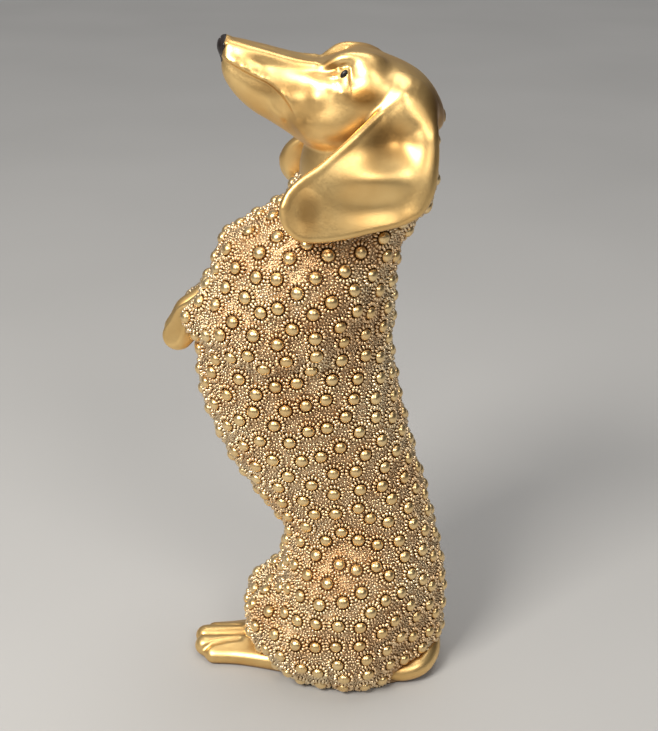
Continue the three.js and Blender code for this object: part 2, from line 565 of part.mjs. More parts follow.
// Merges edges, the flattest first, until the given number of faces is left
function reduceFaces({ vertices, faces }, wanted, weightAt) {
  const quadrics = vertices.map(() => new Float64Array(10));
  const around = vertices.map(() => new Set());
  const alive = faces.map(() => true);
  const age = new Int32Array(vertices.length);
  const vector = (index) => new THREE.Vector3(...vertices[index]);
  const normalOf = (a, b, c) => b.clone().sub(a).cross(c.clone().sub(a));
  faces.forEach((face, index) => {
    const [a, b, c] = face.map(vector);
    const normal = normalOf(a, b, c);
    const area = normal.length() / 2;
    face.forEach((vertex) => around[vertex].add(index));
    if (area < 1e-12) return;
    normal.normalize();
    const middle = a.clone().add(b).add(c).divideScalar(3);
    const plane = [normal.x, normal.y, normal.z, -normal.dot(a)];
    const weight = area * weightAt(middle.toArray());
    face.forEach((vertex) => {
      let slot = 0;
      for (let row = 0; row < 4; row += 1) {
        for (let column = row; column < 4; column += 1) {
          quadrics[vertex][slot] += weight * plane[row] * plane[column];
          slot += 1;
        }
      }
    });
  });
  const errorAt = (q, [x, y, z]) => (
    q[0] * x * x + 2 * q[1] * x * y + 2 * q[2] * x * z + 2 * q[3] * x
    + q[4] * y * y + 2 * q[5] * y * z + 2 * q[6] * y + q[7] * z * z + 2 * q[8] * z + q[9]);
  const bestPoint = (q, a, b) => {
    const matrix = new THREE.Matrix3().set(q[0], q[1], q[2], q[1], q[4], q[5], q[2], q[5], q[7]);
    const middle = a.map((value, axis) => (value + b[axis]) / 2);
    const size = (q[0] + q[4] + q[7]) / 3;
    if (Math.abs(matrix.determinant()) > 1e-3 * size ** 3) {
      const point = new THREE.Vector3(-q[3], -q[6], -q[8]).applyMatrix3(matrix.invert());
      const reach = Math.hypot(...a.map((value, axis) => value - b[axis]));
      if (point.distanceTo(new THREE.Vector3(...middle)) < reach) return point.toArray();
    }
    const choices = [middle, a, b];
    const errors = choices.map((choice) => errorAt(q, choice));
    return choices[errors.indexOf(Math.min(...errors))];
  };
  const heap = [];
  const push = (entry) => {
    let i = heap.push(entry) - 1;
    while (i > 0) {
      const parent = (i - 1) >> 1;
      if (heap[parent].cost <= heap[i].cost) break;
      [heap[parent], heap[i]] = [heap[i], heap[parent]];
      i = parent;
    }
  };
  const pop = () => {
    const top = heap[0];
    const last = heap.pop();
    if (heap.length === 0) return top;
    heap[0] = last;
    let i = 0;
    for (;;) {
      let child = 2 * i + 1;
      if (child >= heap.length) break;
      if (child + 1 < heap.length && heap[child + 1].cost < heap[child].cost) child += 1;
      if (heap[i].cost <= heap[child].cost) break;
      [heap[child], heap[i]] = [heap[i], heap[child]];
      i = child;
    }
    return top;
  };
  const offer = (a, b) => {
    const sum = quadrics[a].map((value, slot) => value + quadrics[b][slot]);
    const point = bestPoint(sum, vertices[a], vertices[b]);
    const length = Math.hypot(...vertices[a].map((value, axis) => value - vertices[b][axis]));
    const cost = Math.max(errorAt(sum, point), 0) + 1e-5 * length;
    push({ cost, a, b, point, sum, ages: age[a] + age[b] });
  };
  faces.forEach(([a, b, c]) => {
    if (a < b) offer(a, b);
    if (b < c) offer(b, c);
    if (c < a) offer(c, a);
  });
  const neighbours = (vertex) => {
    const found = new Set();
    around[vertex].forEach((index) => faces[index].forEach((other) => found.add(other)));
    found.delete(vertex);
    return found;
  };
  const staysSound = (vertex, gone, target) => {
    for (const index of around[vertex]) {
      if (faces[index].includes(gone)) continue;
      const before = normalOf(...faces[index].map(vector));
      const corners = faces[index].map((other) => (other === vertex ? target : vector(other)));
      const after = normalOf(...corners);
      const edges = corners.map((corner, i) => corner.distanceTo(corners[(i + 1) % 3]));
      if (after.length() < SLIMMEST * Math.max(...edges) ** 2) return false;
      if (before.normalize().dot(after.normalize()) < STEEPEST_TURN) return false;
    }
    return true;
  };
  let count = faces.length;
  while (count > wanted && heap.length > 0) {
    const { a, b, point, sum, ages } = pop();
    if (age[a] < 0 || age[b] < 0 || age[a] + age[b] !== ages) continue;
    const near = neighbours(a);
    if (!near.has(b)) continue;
    const shared = [...neighbours(b)].filter((vertex) => near.has(vertex));
    if (shared.length !== 2) continue;
    const target = new THREE.Vector3(...point);
    if (!staysSound(a, b, target) || !staysSound(b, a, target)) continue;
    vertices[a] = point;
    quadrics[a] = sum;
    for (const index of [...around[b]]) {
      if (faces[index].includes(a)) {
        alive[index] = false;
        count -= 1;
        faces[index].forEach((vertex) => around[vertex].delete(index));
      } else {
        faces[index] = faces[index].map((vertex) => (vertex === b ? a : vertex));
        around[a].add(index);
      }
    }
    around[b].clear();
    age[b] = -1;
    age[a] += 1;
    neighbours(a).forEach((vertex) => offer(a, vertex));
  }
  return { vertices, faces: faces.filter((_, index) => alive[index]) };
}

// How the studs spread: the gap that takes another stud, and how they push each other apart
const STUD_GAP = 0.63 * STUD_PITCH;
const PUSH_REACH = 1.35 * STUD_PITCH;
const PUSH_SHARE = 0.16;
const PUSH_ROUNDS = 24;

// Evenly spread places for the studs on the coat
function spreadStuds(candidates) {
  const free = (point) => point[2] > STUD_DIAMETER / 2 + STUD_CLEARANCE
    && smoothDistance(point) > STUD_DIAMETER / 2 + STUD_CLEARANCE;
  const spots = candidates.map((point) => ontoSurface(coatDistance, point, CELL))
    .filter((point) => free(point) && Math.abs(coatDistance(point)) < 0.2 * S);
  const between = (a, b) => Math.hypot(a[0] - b[0], a[1] - b[1], a[2] - b[2]);
  const nearest = spots.map(() => Infinity);
  let next = spots.reduce((best, spot, i) => (spot[2] > spots[best][2] ? i : best), 0);
  const studs = [];
  while (nearest.length > 0) {
    studs.push([...spots[next]]);
    let farthest = 0;
    let reach = 0;
    for (let i = 0; i < spots.length; i += 1) {
      nearest[i] = Math.min(nearest[i], between(spots[i], spots[next]));
      if (nearest[i] > reach) {
        reach = nearest[i];
        farthest = i;
      }
    }
    if (reach < STUD_GAP) break;
    next = farthest;
  }
  for (let round = 0; round < PUSH_ROUNDS; round += 1) {
    const pushes = studs.map((stud) => {
      const push = new THREE.Vector3();
      studs.forEach((other) => {
        const gap = between(stud, other);
        if (other === stud || gap > PUSH_REACH) return;
        const away = new THREE.Vector3(...stud).sub(new THREE.Vector3(...other));
        push.add(away.multiplyScalar((PUSH_REACH / gap - 1) * PUSH_SHARE));
      });
      return push;
    });
    studs.forEach((stud, i) => {
      const moved = stud.map((value, axis) => value + pushes[i].getComponent(axis));
      const placed = ontoSurface(coatDistance, moved, 2 * STUD_PITCH);
      if (free(placed)) studs[i] = placed;
    });
  }
  return studs;
}

const wasm = await Module();
wasm.setup();
const toSolid = ({ vertices, faces }) => new wasm.Manifold(new wasm.Mesh({
  numProp: 3,
  vertProperties: new Float32Array(vertices.flat()),
  triVerts: new Uint32Array(faces.flat()),
}));

function toMesh(solid) {
  const { numProp, vertProperties, triVerts } = solid.getMesh();
  const rowsOf = (list, step) => Array.from({ length: list.length / step }, (_, row) => (
    Array.from(list.slice(row * step, row * step + 3))));
  return { vertices: rowsOf(vertProperties, numProp), faces: rowsOf(triVerts, 3) };
}

// One stud: a low many-sided cone on the coat, its root sunk into the surface
function studFaces(stud, firstVertex) {
  const normal = gradient(coatDistance, stud).normalize();
  const turn = new THREE.Quaternion().setFromUnitVectors(new THREE.Vector3(0, 0, 1), normal);
  const centre = new THREE.Vector3(...stud);
  const spread = (STUD_RISE + STUD_ROOT_DEPTH) / STUD_RISE;
  const ring = Array.from({ length: STUD_SIDES }, (_, side) => {
    const angle = 2 * Math.PI * side / STUD_SIDES;
    const radius = STUD_DIAMETER / 2 * spread;
    const corner = new THREE.Vector3(radius * Math.cos(angle), radius * Math.sin(angle),
      -STUD_ROOT_DEPTH);
    return corner.applyQuaternion(turn).add(centre).toArray();
  });
  const top = normal.clone().multiplyScalar(STUD_RISE).add(centre).toArray();
  const topIndex = firstVertex + STUD_SIDES;
  const faces = ring.map((_, side) => (
    [firstVertex + side, firstVertex + (side + 1) % STUD_SIDES, topIndex]));
  for (let side = 1; side + 1 < STUD_SIDES; side += 1) {
    faces.push([firstVertex, firstVertex + side + 1, firstVertex + side]);
  }
  return { vertices: [...ring, top], faces };
}

function boxSolid(low, high) {
  const vertices = [];
  for (let corner = 0; corner < 8; corner += 1) {
    vertices.push([(corner & 1 ? high : low)[0], (corner & 2 ? high : low)[1],
      (corner & 4 ? high : low)[2]]);
  }
  const faces = [[0, 2, 1], [1, 2, 3], [4, 5, 6], [5, 7, 6], [0, 1, 4], [1, 5, 4],
    [2, 6, 3], [3, 6, 7], [0, 4, 2], [2, 4, 6], [1, 3, 5], [3, 7, 5]];
  return toSolid({ vertices, faces });
}

const HALF_SPAN = Math.max(EAR_SPREAD, HAUNCH_WIDTH, SHOULDER_WIDTH) / 2 + 6 * S;
const LOW = [-HALF_SPAN, -70 * S, -9 * S];
const HIGH = [HALF_SPAN, 58 * S, 256 * S];
const traced = traceSurface(figureDistance, LOW, HIGH, CELL * S);
const SPOT_STEP = 6;
const coatSpots = traced.vertices.filter((vertex, index) => (
  index % SPOT_STEP === 0 && coatDistance(vertex) < smoothDistance(vertex)));

// Faces are kept for the face, the studs and the smooth carving, and spared on the coat's ground
const FACE_LOW = 214 * S;
const FACE_BACK = 12 * S;
const [FACE_WEIGHT, STUD_WEIGHT, GROUND_WEIGHT] = [3, 4, 0.6];

function faceWeight(point) {
  const toCoat = coatDistance(point);
  if (smoothDistance(point) < toCoat) {
    return point[2] > FACE_LOW && point[1] < FACE_BACK ? FACE_WEIGHT : 1;
  }
  return toCoat > 0.2 * STUD_RISE ? STUD_WEIGHT : GROUND_WEIGHT;
}
const form = reduceFaces(traced, FORM_FACES, faceWeight);
const studs = spreadStuds(coatSpots);

const studMesh = { vertices: [], faces: [] };
studs.forEach((stud) => {
  const { vertices, faces } = studFaces(stud, studMesh.vertices.length);
  studMesh.vertices.push(...vertices);
  studMesh.faces.push(...faces);
});
const below = boxSolid([LOW[0] - 5, LOW[1] - 5, LOW[2] - 5], [HIGH[0] + 5, HIGH[1] + 5, 0]);
const studded = toSolid(form).add(toSolid(studMesh));
const statue = toSolid(reduceFaces(toMesh(studded), STATUE_FACES, faceWeight)).subtract(below);

const { vertices, faces } = toMesh(statue);
const geometry = new THREE.BufferGeometry();
geometry.setAttribute('position', new THREE.Float32BufferAttribute(vertices.flat(), 3));
geometry.setIndex(faces.flat());
geometry.computeBoundingBox();
const centre = geometry.boundingBox.getCenter(new THREE.Vector3());
geometry.translate(-centre.x, -centre.y, 0);

const gold = new THREE.MeshStandardMaterial({ color: 0xc49a4a, roughness: 0.35, metalness: 1 });
const dog = new THREE.Mesh(geometry, gold);
dog.name = 'dog_statue';
const group = new THREE.Group();
group.add(dog);
export default group;
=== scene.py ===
"""Looks of the sitting-up dachshund figurine: satin gold casting with a coat of beaded studs."""
import math

import bpy
import numpy as np
from mathutils import Matrix, Vector


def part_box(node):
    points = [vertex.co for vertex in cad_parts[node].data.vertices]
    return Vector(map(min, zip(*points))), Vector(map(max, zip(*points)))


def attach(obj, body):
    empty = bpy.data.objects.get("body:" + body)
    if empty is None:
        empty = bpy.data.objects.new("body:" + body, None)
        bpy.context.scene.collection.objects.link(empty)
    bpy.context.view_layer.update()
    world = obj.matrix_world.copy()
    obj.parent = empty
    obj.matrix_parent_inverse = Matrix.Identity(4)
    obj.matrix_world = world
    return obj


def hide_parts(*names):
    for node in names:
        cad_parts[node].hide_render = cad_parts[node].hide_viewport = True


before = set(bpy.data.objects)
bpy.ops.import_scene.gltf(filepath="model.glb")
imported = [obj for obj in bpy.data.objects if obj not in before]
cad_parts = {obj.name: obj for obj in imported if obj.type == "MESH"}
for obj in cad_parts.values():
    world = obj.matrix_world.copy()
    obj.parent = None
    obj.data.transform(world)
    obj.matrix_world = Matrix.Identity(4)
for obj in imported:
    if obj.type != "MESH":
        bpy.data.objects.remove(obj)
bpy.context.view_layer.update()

# Sizes in millimetres, as the cast piece has them
CHEST_WIDTH = 54.0
SHOULDER_WIDTH = 63.0
HAUNCH_WIDTH = 71.0
HEAD_WIDTH = 40.0
MUZZLE_WIDTH = 18.0
EAR_SPREAD = 74.0
EAR_THICKNESS = 4.6
EAR_RIM_DIAMETER = 2.6
EAR_HOLLOW_DEPTH = 3.2
PAW_WIDTH = 9.0
PAW_DEPTH = 11.5
FOOT_WIDTH = 12.6
TAIL_TIP_DIAMETER = 6.4
COAT_RISE = 0.8
STUD_DIAMETER = 4.6
STUD_RISE = 1.6

# The ground of the coat, and the beads and grains around the studs
GROUND_SINK = 0.6
GROUND_CELL = 0.85
GROUND_GRAIN = 0.22
BEADS_ROUND_STUD = 16
BEAD_RING_DIAMETER = 6.9
BEAD_LENGTH = 1.75
BEAD_WIDTH = 1.2
BEAD_RISE = 1.0
BEAD_CLEARANCE = 0.3
GRAIN_PITCH = 0.8
GRAIN_DIAMETER = 0.95
GRAIN_RISE = 0.6
GRAIN_SINK = 0.15
GRAIN_LOWEST = 0.6
GRAIN_CLEARANCE = 0.2
GRAIN_TRIES = 170000
STUD_PITCH = 10.5
# How high the solid's stud tops lie over the coat, as shares of the rise, and how far they
# keep from the smooth parts
TOP_SHARES = (0.72, 1.5)
TOP_CLEARANCE = 1.5
# The widest place without a stud, as a share of the pitch
WIDEST_GAP = 0.74
GROUND_SPLIT_HEIGHT = 100

# Body by height: height, front, back, and half width as a share of half the chest width
BODY_STATIONS = [
    [-12, -14, 44.4, 0.92], [0, -16, 46.2, 0.94], [12, -17, 46.8, 0.94], [26, -17, 47.1, 0.92],
    [40, -16, 46.4, 0.88], [52, -15.6, 43.8, 0.84], [63, -16.2, 41.1, 0.83],
    [77, -25.5, 37.5, 0.85], [91, -34.9, 33.0, 0.9], [105, -41.9, 29.3, 0.94],
    [120, -46.7, 25.4, 0.97], [140, -48.2, 22.1, 0.98], [155, -46.4, 22.6, 1],
    [166, -43, 22.6, 0.99], [174, -40.2, 23.5, 0.96], [181, -36.6, 26.1, 0.9],
    [187, -25.8, 29.8, 0.83], [194, -16.0, 34.7, 0.75], [202, -11.5, 36.0, 0.7],
    [212, -10.2, 36.0, 0.67], [222, -9, 34.0, 0.62],
]
BODY_ROUNDNESS = 2.25
COLLAR_HEIGHT = 205
COLLAR_SLOPE = 0.3
# At the nape the coat reaches up to the skull: how far, from which y, and over how much
NAPE_RISE = 5
NAPE_START = 16
NAPE_EASE = 14

# Head by length: y, top, bottom, and half width as a share of half the head or muzzle width
HEAD_STATIONS = [
    [-38.6, 243.5, 240.5, 0.12], [-37.9, 247.0, 237.2, 0.5], [-36.2, 249.3, 233.8, 0.74],
    [-33, 249.4, 229.6, 0.86], [-28, 248.4, 225.2, 0.96], [-22, 247.0, 221.6, 1.05],
    [-16, 245.3, 217.8, 1.22], [-10, 243.6, 213.8, 1.5], [-4, 243.0, 211.8, 1.78],
    [2, 245.0, 211.2, 1.97], [8, 246.6, 211.6, 2.1], [14, 245.8, 212.4, 2.18],
    [20, 243.8, 213.6, 2.2], [26, 241.2, 215.0, 2.12], [31, 238.0, 216.4, 1.9],
    [35, 233.6, 218.0, 1.5], [37.6, 229.0, 219.6, 0.95], [38.8, 225.6, 221.6, 0.4],
]
HEAD_ROUNDNESS = 2.35
MUZZLE_END = -16
SKULL_START = 10
SKULL_SHARE = 2.2

# Outline of an ear seen from the side: y and height
EAR_OUTLINE = [
    [25, 236], [18.7, 231.4], [13.1, 227.6], [4.8, 221], [-3.5, 214.4], [-10.8, 209.6],
    [-15.6, 205.6], [-18.6, 200.6], [-18, 194.6], [-13.4, 189.4], [-7, 188], [2, 188.6],
    [12, 190.4], [23.6, 192.8], [30.4, 197], [33.6, 202.6], [34.8, 210], [35, 219], [33.5, 228],
]
EAR_ROOT = (24, 234)
EAR_TIP = (-17, 197)

# A distance past anything that is blended, and the least size that is divided by
FAR = 25.0
LEAST_RADIUS = 0.05
LEAST_SLOPE = 1e-3


def curve_through(stations):
    """Smooth curve through stations: each row is a position and the values there."""
    rows = np.array(stations, float)
    before = rows[np.maximum(np.arange(len(rows)) - 1, 0)]
    after = rows[np.minimum(np.arange(len(rows)) + 1, len(rows) - 1)]
    slopes = (after - before) / (after[:, :1] - before[:, :1])

    def at(position):
        t = np.clip(position, rows[0, 0], rows[-1, 0])
        i = np.clip(np.searchsorted(rows[:, 0], t, side="left") - 1, 0, len(rows) - 2)
        width = rows[i + 1, 0] - rows[i, 0]
        u = (t - rows[i, 0]) / width
        start = 1 - u * u * (3 - 2 * u)
        leaving = u * (1 - u) ** 2 * width
        arriving = u * u * (u - 1) * width
        return [start * rows[i, c] + (1 - start) * rows[i + 1, c]
                + leaving * slopes[i, c] + arriving * slopes[i + 1, c]
                for c in range(1, rows.shape[1])]

    return at


def blend(a, b, k):
    """Union of two distances, rounded over a width k."""
    h = np.maximum(k - np.abs(a - b), 0) / k
    return np.minimum(a, b) - h * h * k / 4


def carve(a, b, k):
    """What is left of a where b is taken away."""
    return -blend(-a, b, k)


def from_outline(u, v, half_u, half_v, power):
    """Distance from a rounded outline with the given half sizes."""
    a = np.abs(u) / half_u
    b = np.abs(v) / half_v
    r = np.maximum((a ** power + b ** power) ** (1 / power), LEAST_RADIUS)
    steep = r ** (1 - power) * np.hypot(a ** (power - 1) / half_u, b ** (power - 1) / half_v)
    return (r - 1) / np.maximum(steep, LEAST_SLOPE)


def from_ellipsoid(x, y, z, centre, radii):
    """Distance from an ellipsoid, given as centre and radii."""
    p = [x - centre[0], y - centre[1], z - centre[2]]
    r = np.sqrt(sum((q / s) ** 2 for q, s in zip(p, radii)))
    steep = np.sqrt(sum((q / s ** 2) ** 2 for q, s in zip(p, radii)))
    steep = steep / np.maximum(r, LEAST_RADIUS)
    return (r - 1) / np.maximum(steep, LEAST_SLOPE)


def from_limb(x, y, z, path, k):
    """Distance from round sections of changing radius along a path of x, y, z, radius."""
    nearest = None
    for (ax, ay, az, ar), (bx, by, bz, br) in zip(path, path[1:]):
        dx, dy, dz = bx - ax, by - ay, bz - az
        along = ((x - ax) * dx + (y - ay) * dy + (z - az) * dz) / (dx * dx + dy * dy + dz * dz)
        t = np.clip(along, 0, 1)
        away = np.sqrt((x - ax - t * dx) ** 2 + (y - ay - t * dy) ** 2 + (z - az - t * dz) ** 2)
        distance = away - ar - t * (br - ar)
        nearest = distance if nearest is None else blend(nearest, distance, k)
    return nearest


def from_polygon(u, v, outline):
    """Signed distance from a closed outline in the plane, negative inside."""
    nearest = np.full(u.shape, np.inf)
    inside = np.zeros(u.shape, bool)
    for (au, av), (bu, bv) in zip(np.roll(outline, 1, axis=0), outline):
        du, dv = bu - au, bv - av
        t = np.clip(((u - au) * du + (v - av) * dv) / (du * du + dv * dv), 0, 1)
        nearest = np.minimum(nearest, np.hypot(u - au - t * du, v - av - t * dv))
        if av != bv:
            inside ^= ((av > v) != (bv > v)) & (u < du * (v - av) / dv + au)
    return np.where(inside, -nearest, nearest)


def smooth_path(points, steps, closed=False):
    """Centripetal curve through points of any dimension, with the given steps in each span."""
    points = np.array(points, float)
    count = len(points)
    out = []
    for i in range(count if closed else count - 1):
        near = [i + j - 1 for j in range(4)]
        near = [j % count if closed else min(max(j, 0), count - 1) for j in near]
        p = points[near]
        if not closed and i == 0:
            p[0] = 2 * p[1] - p[2]
        if not closed and i == count - 2:
            p[3] = 2 * p[2] - p[1]
        knots = np.cumsum([0] + [np.linalg.norm(b - a) ** 0.5 for a, b in zip(p, p[1:])])
        for step in range(steps):
            t = knots[1] + (knots[2] - knots[1]) * step / steps
            a = [((knots[j + 1] - t) * p[j] + (t - knots[j]) * p[j + 1])
                 / (knots[j + 1] - knots[j]) for j in range(3)]
            b = [((knots[j + 2] - t) * a[j] + (t - knots[j]) * a[j + 1])
                 / (knots[j + 2] - knots[j]) for j in range(2)]
            out.append(((knots[2] - t) * b[0] + (t - knots[1]) * b[1]) / (knots[2] - knots[1]))
    if not closed:
        out.append(points[-1])
    return np.array(out)


def beside_line(y, z, line):
    """Signed distance from an open line in the side view, positive on its upper side."""
    nearest = np.full(y.shape, np.inf)
    sign = np.ones(y.shape)
    for (ay, az), (by, bz) in zip(line, line[1:]):
        dy, dz = by - ay, bz - az
        t = np.clip(((y - ay) * dy + (z - az) * dz) / (dy * dy + dz * dz), 0, 1)
        away = np.hypot(y - ay - t * dy, z - az - t * dz)
        closer = away < nearest
        nearest = np.where(closer, away, nearest)
        sign = np.where(closer, np.sign(dy * (z - az) - dz * (y - ay)), sign)
    return nearest * sign


def ease(value):
    """Smooth step from 0 at 0 to 1 at 1."""
    t = np.clip(value, 0, 1)
    return t * t * (3 - 2 * t)


# Body, haunches and arms, which carry the coat
body_at = curve_through([[z, front, back, share * CHEST_WIDTH / 2]
                         for z, front, back, share in BODY_STATIONS])
HIP_RADIUS = 16.4
THIGH = [
    (HAUNCH_WIDTH / 2 - HIP_RADIUS, 9, 16, HIP_RADIUS),
    (15.5, -6, 18.5, 16.4),
    (8.2, -16.6, 20.6, 14.8),
]
THIGH_TOP = ((HAUNCH_WIDTH / 2 - 20.3, 8, 34), (20.3, 24, 27))
ARM_RADIUS = 11.8
ARM_X = SHOULDER_WIDTH / 2 - ARM_RADIUS
SHOULDER = ((ARM_X - 0.7, -8, 162), (ARM_RADIUS + 0.7, 17, 17))
FOREARM = smooth_path([
    (ARM_X, -9, 148.5, ARM_RADIUS),
    (ARM_X - 1, -23, 146.5, ARM_RADIUS - 0.4),
    (14, -35.5, 148.4, 9),
    (PAW_WIDTH / 2 + 2.8, -44, 151.4, PAW_DEPTH / 2 + 0.2),
    (PAW_WIDTH / 2 + 2.6, -47.6, 150.6, PAW_DEPTH / 2),
], 4)
THIGH_LIMIT = 90
THIGH_BLEND = 9
# Sharp in the crease under the arm, soft at the shoulder
CREASE_BLEND = 3.5
SHOULDER_BLEND = 10
CREASE_HEIGHT = 144
CREASE_EASE = 18


def coat_distance(x, y, z):
    side = np.abs(x)
    front, back, half_width = body_at(z)
    middle = (front + back) / 2
    d = from_outline(x, y - middle, half_width, (back - front) / 2, BODY_ROUNDNESS)
    collar = COLLAR_HEIGHT + COLLAR_SLOPE * y + NAPE_RISE * ease((y - NAPE_START) / NAPE_EASE)
    d = carve(d, collar - z, 2)
    thigh = blend(from_limb(side, y, z, THIGH, 6), from_ellipsoid(side, y, z, *THIGH_TOP), 5)
    d = blend(d, np.where(z < THIGH_LIMIT, thigh, FAR), THIGH_BLEND)
    arm = blend(from_ellipsoid(side, y, z, *SHOULDER), from_limb(side, y, z, FOREARM, 0.2), 4)
    softness = ease((z - CREASE_HEIGHT) / CREASE_EASE)
    return blend(d, arm, CREASE_BLEND + (SHOULDER_BLEND - CREASE_BLEND) * softness) - COAT_RISE


# Head with muzzle, brows, eye hollows, mouth and throat
def head_stations():
    for y, top, bottom, share in HEAD_STATIONS:
        toward_skull = min(max((y - MUZZLE_END) / (SKULL_START - MUZZLE_END), 0), 1)
        muzzle_half = share * MUZZLE_WIDTH / 2
        skull_half = share / SKULL_SHARE * HEAD_WIDTH / 2
        yield [y, top, bottom, muzzle_half + (skull_half - muzzle_half) * toward_skull]


head_at = curve_through(list(head_stations()))
NOSE = ((0, -36.8, 246.9), (3.9, 2.9, 3.8))
BROW = smooth_path([
    (8.6, -3.8, 240.6, 1.9), (9.7, -0.6, 242.7, 2.0), (10.7, 2.4, 244.4, 2.1),
    (11, 5.8, 244.8, 2.3), (10.5, 10, 243.9, 2.6), (9, 14, 242, 3),
], 6)
MUZZLE_EDGE = smooth_path([
    (3.2, -36, 247.6, 1.5), (4.9, -30, 246.2, 1.6), (5.8, -24.4, 245.0, 1.7),
    (6.2, -19, 243.6, 1.7), (6.8, -13, 242.2, 1.7), (8, -6.5, 241.6, 1.6),
], 6)
TEMPLE = ((9.2, 11, 239), (7.4, 7.2, 7))
THROAT = [(0, 9, 224, 17), (0, 5.5, 205, 16.5), (0, 8, 192, 16)]
CHEEK = ((8.6, 3, 221.5), (9.8, 14, 9.8))
HEAD_ENDS = (-38.4, 39.2)
JAW_TAPER = 0.16
# Joins along a dense path need hardly any rounding, or they would bulge
PATH_JOIN = 0.02

# Lines of the face in the side view, as y and height
SOCKET_EDGE = smooth_path([(4.6, 231.5), (4.3, 236), (4.3, 241), (3.9, 244.2), (2, 245.4)], 3)
SOCKET_DEPTH = 1.9
SOCKET_HEIGHT = 239.6
SOCKET_FLOOR = 236
MOUTH = smooth_path([(-37.5, 243.6), (-32.5, 241), (-27.1, 238.2), (-22.4, 236.1),
                     (-18.4, 232.9), (-15.6, 229.6), (-13.4, 225.6)], 3)
MOUTH_FRONT = -39.5
MOUTH_CORNER = -12
LIP_RISE = 1.0
JAW_DROP = 1.0
LIP_EDGE = 1.0
# Folds behind the mouth and the lid's edge: line, rise and width
FOLDS = [
    (smooth_path([(-23.5, 229.6), (-20.4, 226.4), (-17.6, 224.4), (-15.2, 223.6)], 3), 0.7, 1.3),
    (smooth_path([(-17.4, 230), (-15.4, 225.6), (-12.6, 221.8), (-9.0, 219.4)], 3), 0.8, 1.5),
    ([(-2.6, 239.2), (0, 239.4), (2.4, 239.9)], 0.55, 0.45),
]
# Lumps and dents of the casting: middle, radius and rise
LUMPS = [
    ((2.2, 234.6), 1.9, 0.75), ((0.9, 237.6), 1.1, 0.45), ((-1.8, 236.2), 1.7, 0.4),
    ((1.1, 241.8), 0.9, 0.5), ((-6.2, 237.2), 3.2, 0.55), ((-6.4, 231.6), 2.6, 0.6),
    ((-11, 234), 3.2, -0.45), ((-30, 244.4), 3.6, 0.5), ((-24, 241), 3, -0.35),
    ((-33.4, 243.4), 1.3, 0.35), ((-30.2, 241.2), 1.3, 0.4), ((-26.9, 239.6), 1.2, 0.35),
    ((-23.6, 238.1), 1.3, 0.35), ((-14, 230.5), 2.4, 0.4), ((-12.4, 225), 1.6, 0.4),
    ((-9.4, 223), 1.7, 0.35), ((-17, 232.4), 1.5, 0.35),
]
NOSTRIL = ((3.4, -36.2, 247.2), (1.5, 1.6, 0.9))


def face_relief(side, y, z):
    """How far the face stands out of the plain head, from its lines and lumps."""
    behind = -beside_line(y, z, SOCKET_EDGE)
    inside = ease(behind / 1.1) * np.exp(-(np.maximum(behind, 0) / 4.8) ** 2)
    window = np.exp(-(np.abs(z - SOCKET_HEIGHT) / 5.5) ** 4)
    window = window * (0.2 + 0.8 * ease((z - SOCKET_FLOOR) / 3.6))
    relief = -SOCKET_DEPTH * inside * window * ease((side - 6) / 4)
    above = beside_line(y, z, MOUTH)
    lip = LIP_RISE * np.exp(-(above / 2.6) ** 2) * ease(above / LIP_EDGE + 0.5)
    jaw = -JAW_DROP * np.exp(-(above / 3.4) ** 2) * ease(0.5 - above / LIP_EDGE)
    lips = (lip + jaw) * ease((y - MOUTH_FRONT) / 3) * ease((MOUTH_CORNER - y) / 4)
    relief += lips * ease((side - 0.5) / 2.5)
    for line, rise, width in FOLDS:
        start, end = line[0][0], line[-1][0]
        soft = 0.4 * (end - start)
        taper = ease((y - start) / soft) * ease((end - y) / soft)
        fold = np.exp(-(beside_line(y, z, line) / width) ** 2)
        relief += rise * fold * taper * ease((side - 3) / 3)
    for (ly, lz), radius, rise in LUMPS:
        away = ((y - ly) ** 2 + (z - lz) ** 2) / radius ** 2
        relief += rise * np.exp(-away) * ease((side - 2) / 3)
    return relief


def head_distance(x, y, z):
    side = np.abs(x)
    top, bottom, half_width = head_at(y)
    middle = (top + bottom) / 2
    low = np.clip((middle - z) / (middle - bottom), 0, 1)
    jaw_half = half_width * (1 - JAW_TAPER * low * low)
    d = from_outline(x, z - middle, jaw_half, (top - bottom) / 2, HEAD_ROUNDNESS)
    d = np.maximum(d, np.maximum(HEAD_ENDS[0] - y, y - HEAD_ENDS[1]))
    d = blend(d, from_ellipsoid(side, y, z, *CHEEK), 4)
    near = (y < 24) & (z > 212) & (np.abs(d) < 6)
    shaped = d[near]
    at = side[near], y[near], z[near]
    shaped = blend(shaped - face_relief(*at), from_limb(*at, BROW, PATH_JOIN), 1.3)
    shaped = blend(shaped, from_ellipsoid(*at, *TEMPLE), 2.5)
    shaped = blend(shaped, from_limb(*at, MUZZLE_EDGE, PATH_JOIN), 2.2)
    shaped = blend(shaped, from_ellipsoid(*at, *NOSE), 1.2)
    d[near] = carve(shaped, from_ellipsoid(*at, *NOSTRIL), 0.6)
    return blend(d, from_limb(side, y, z, THROAT, 2), 0.9)


# Ears: a curved leaf that hangs from the skull and swings out towards its tip
ear_outline = smooth_path(EAR_OUTLINE, 4, closed=True)
EAR_ROOT_X = HEAD_WIDTH / 2 + 0.2
EAR_TIP_X = (EAR_SPREAD - EAR_THICKNESS) / 2
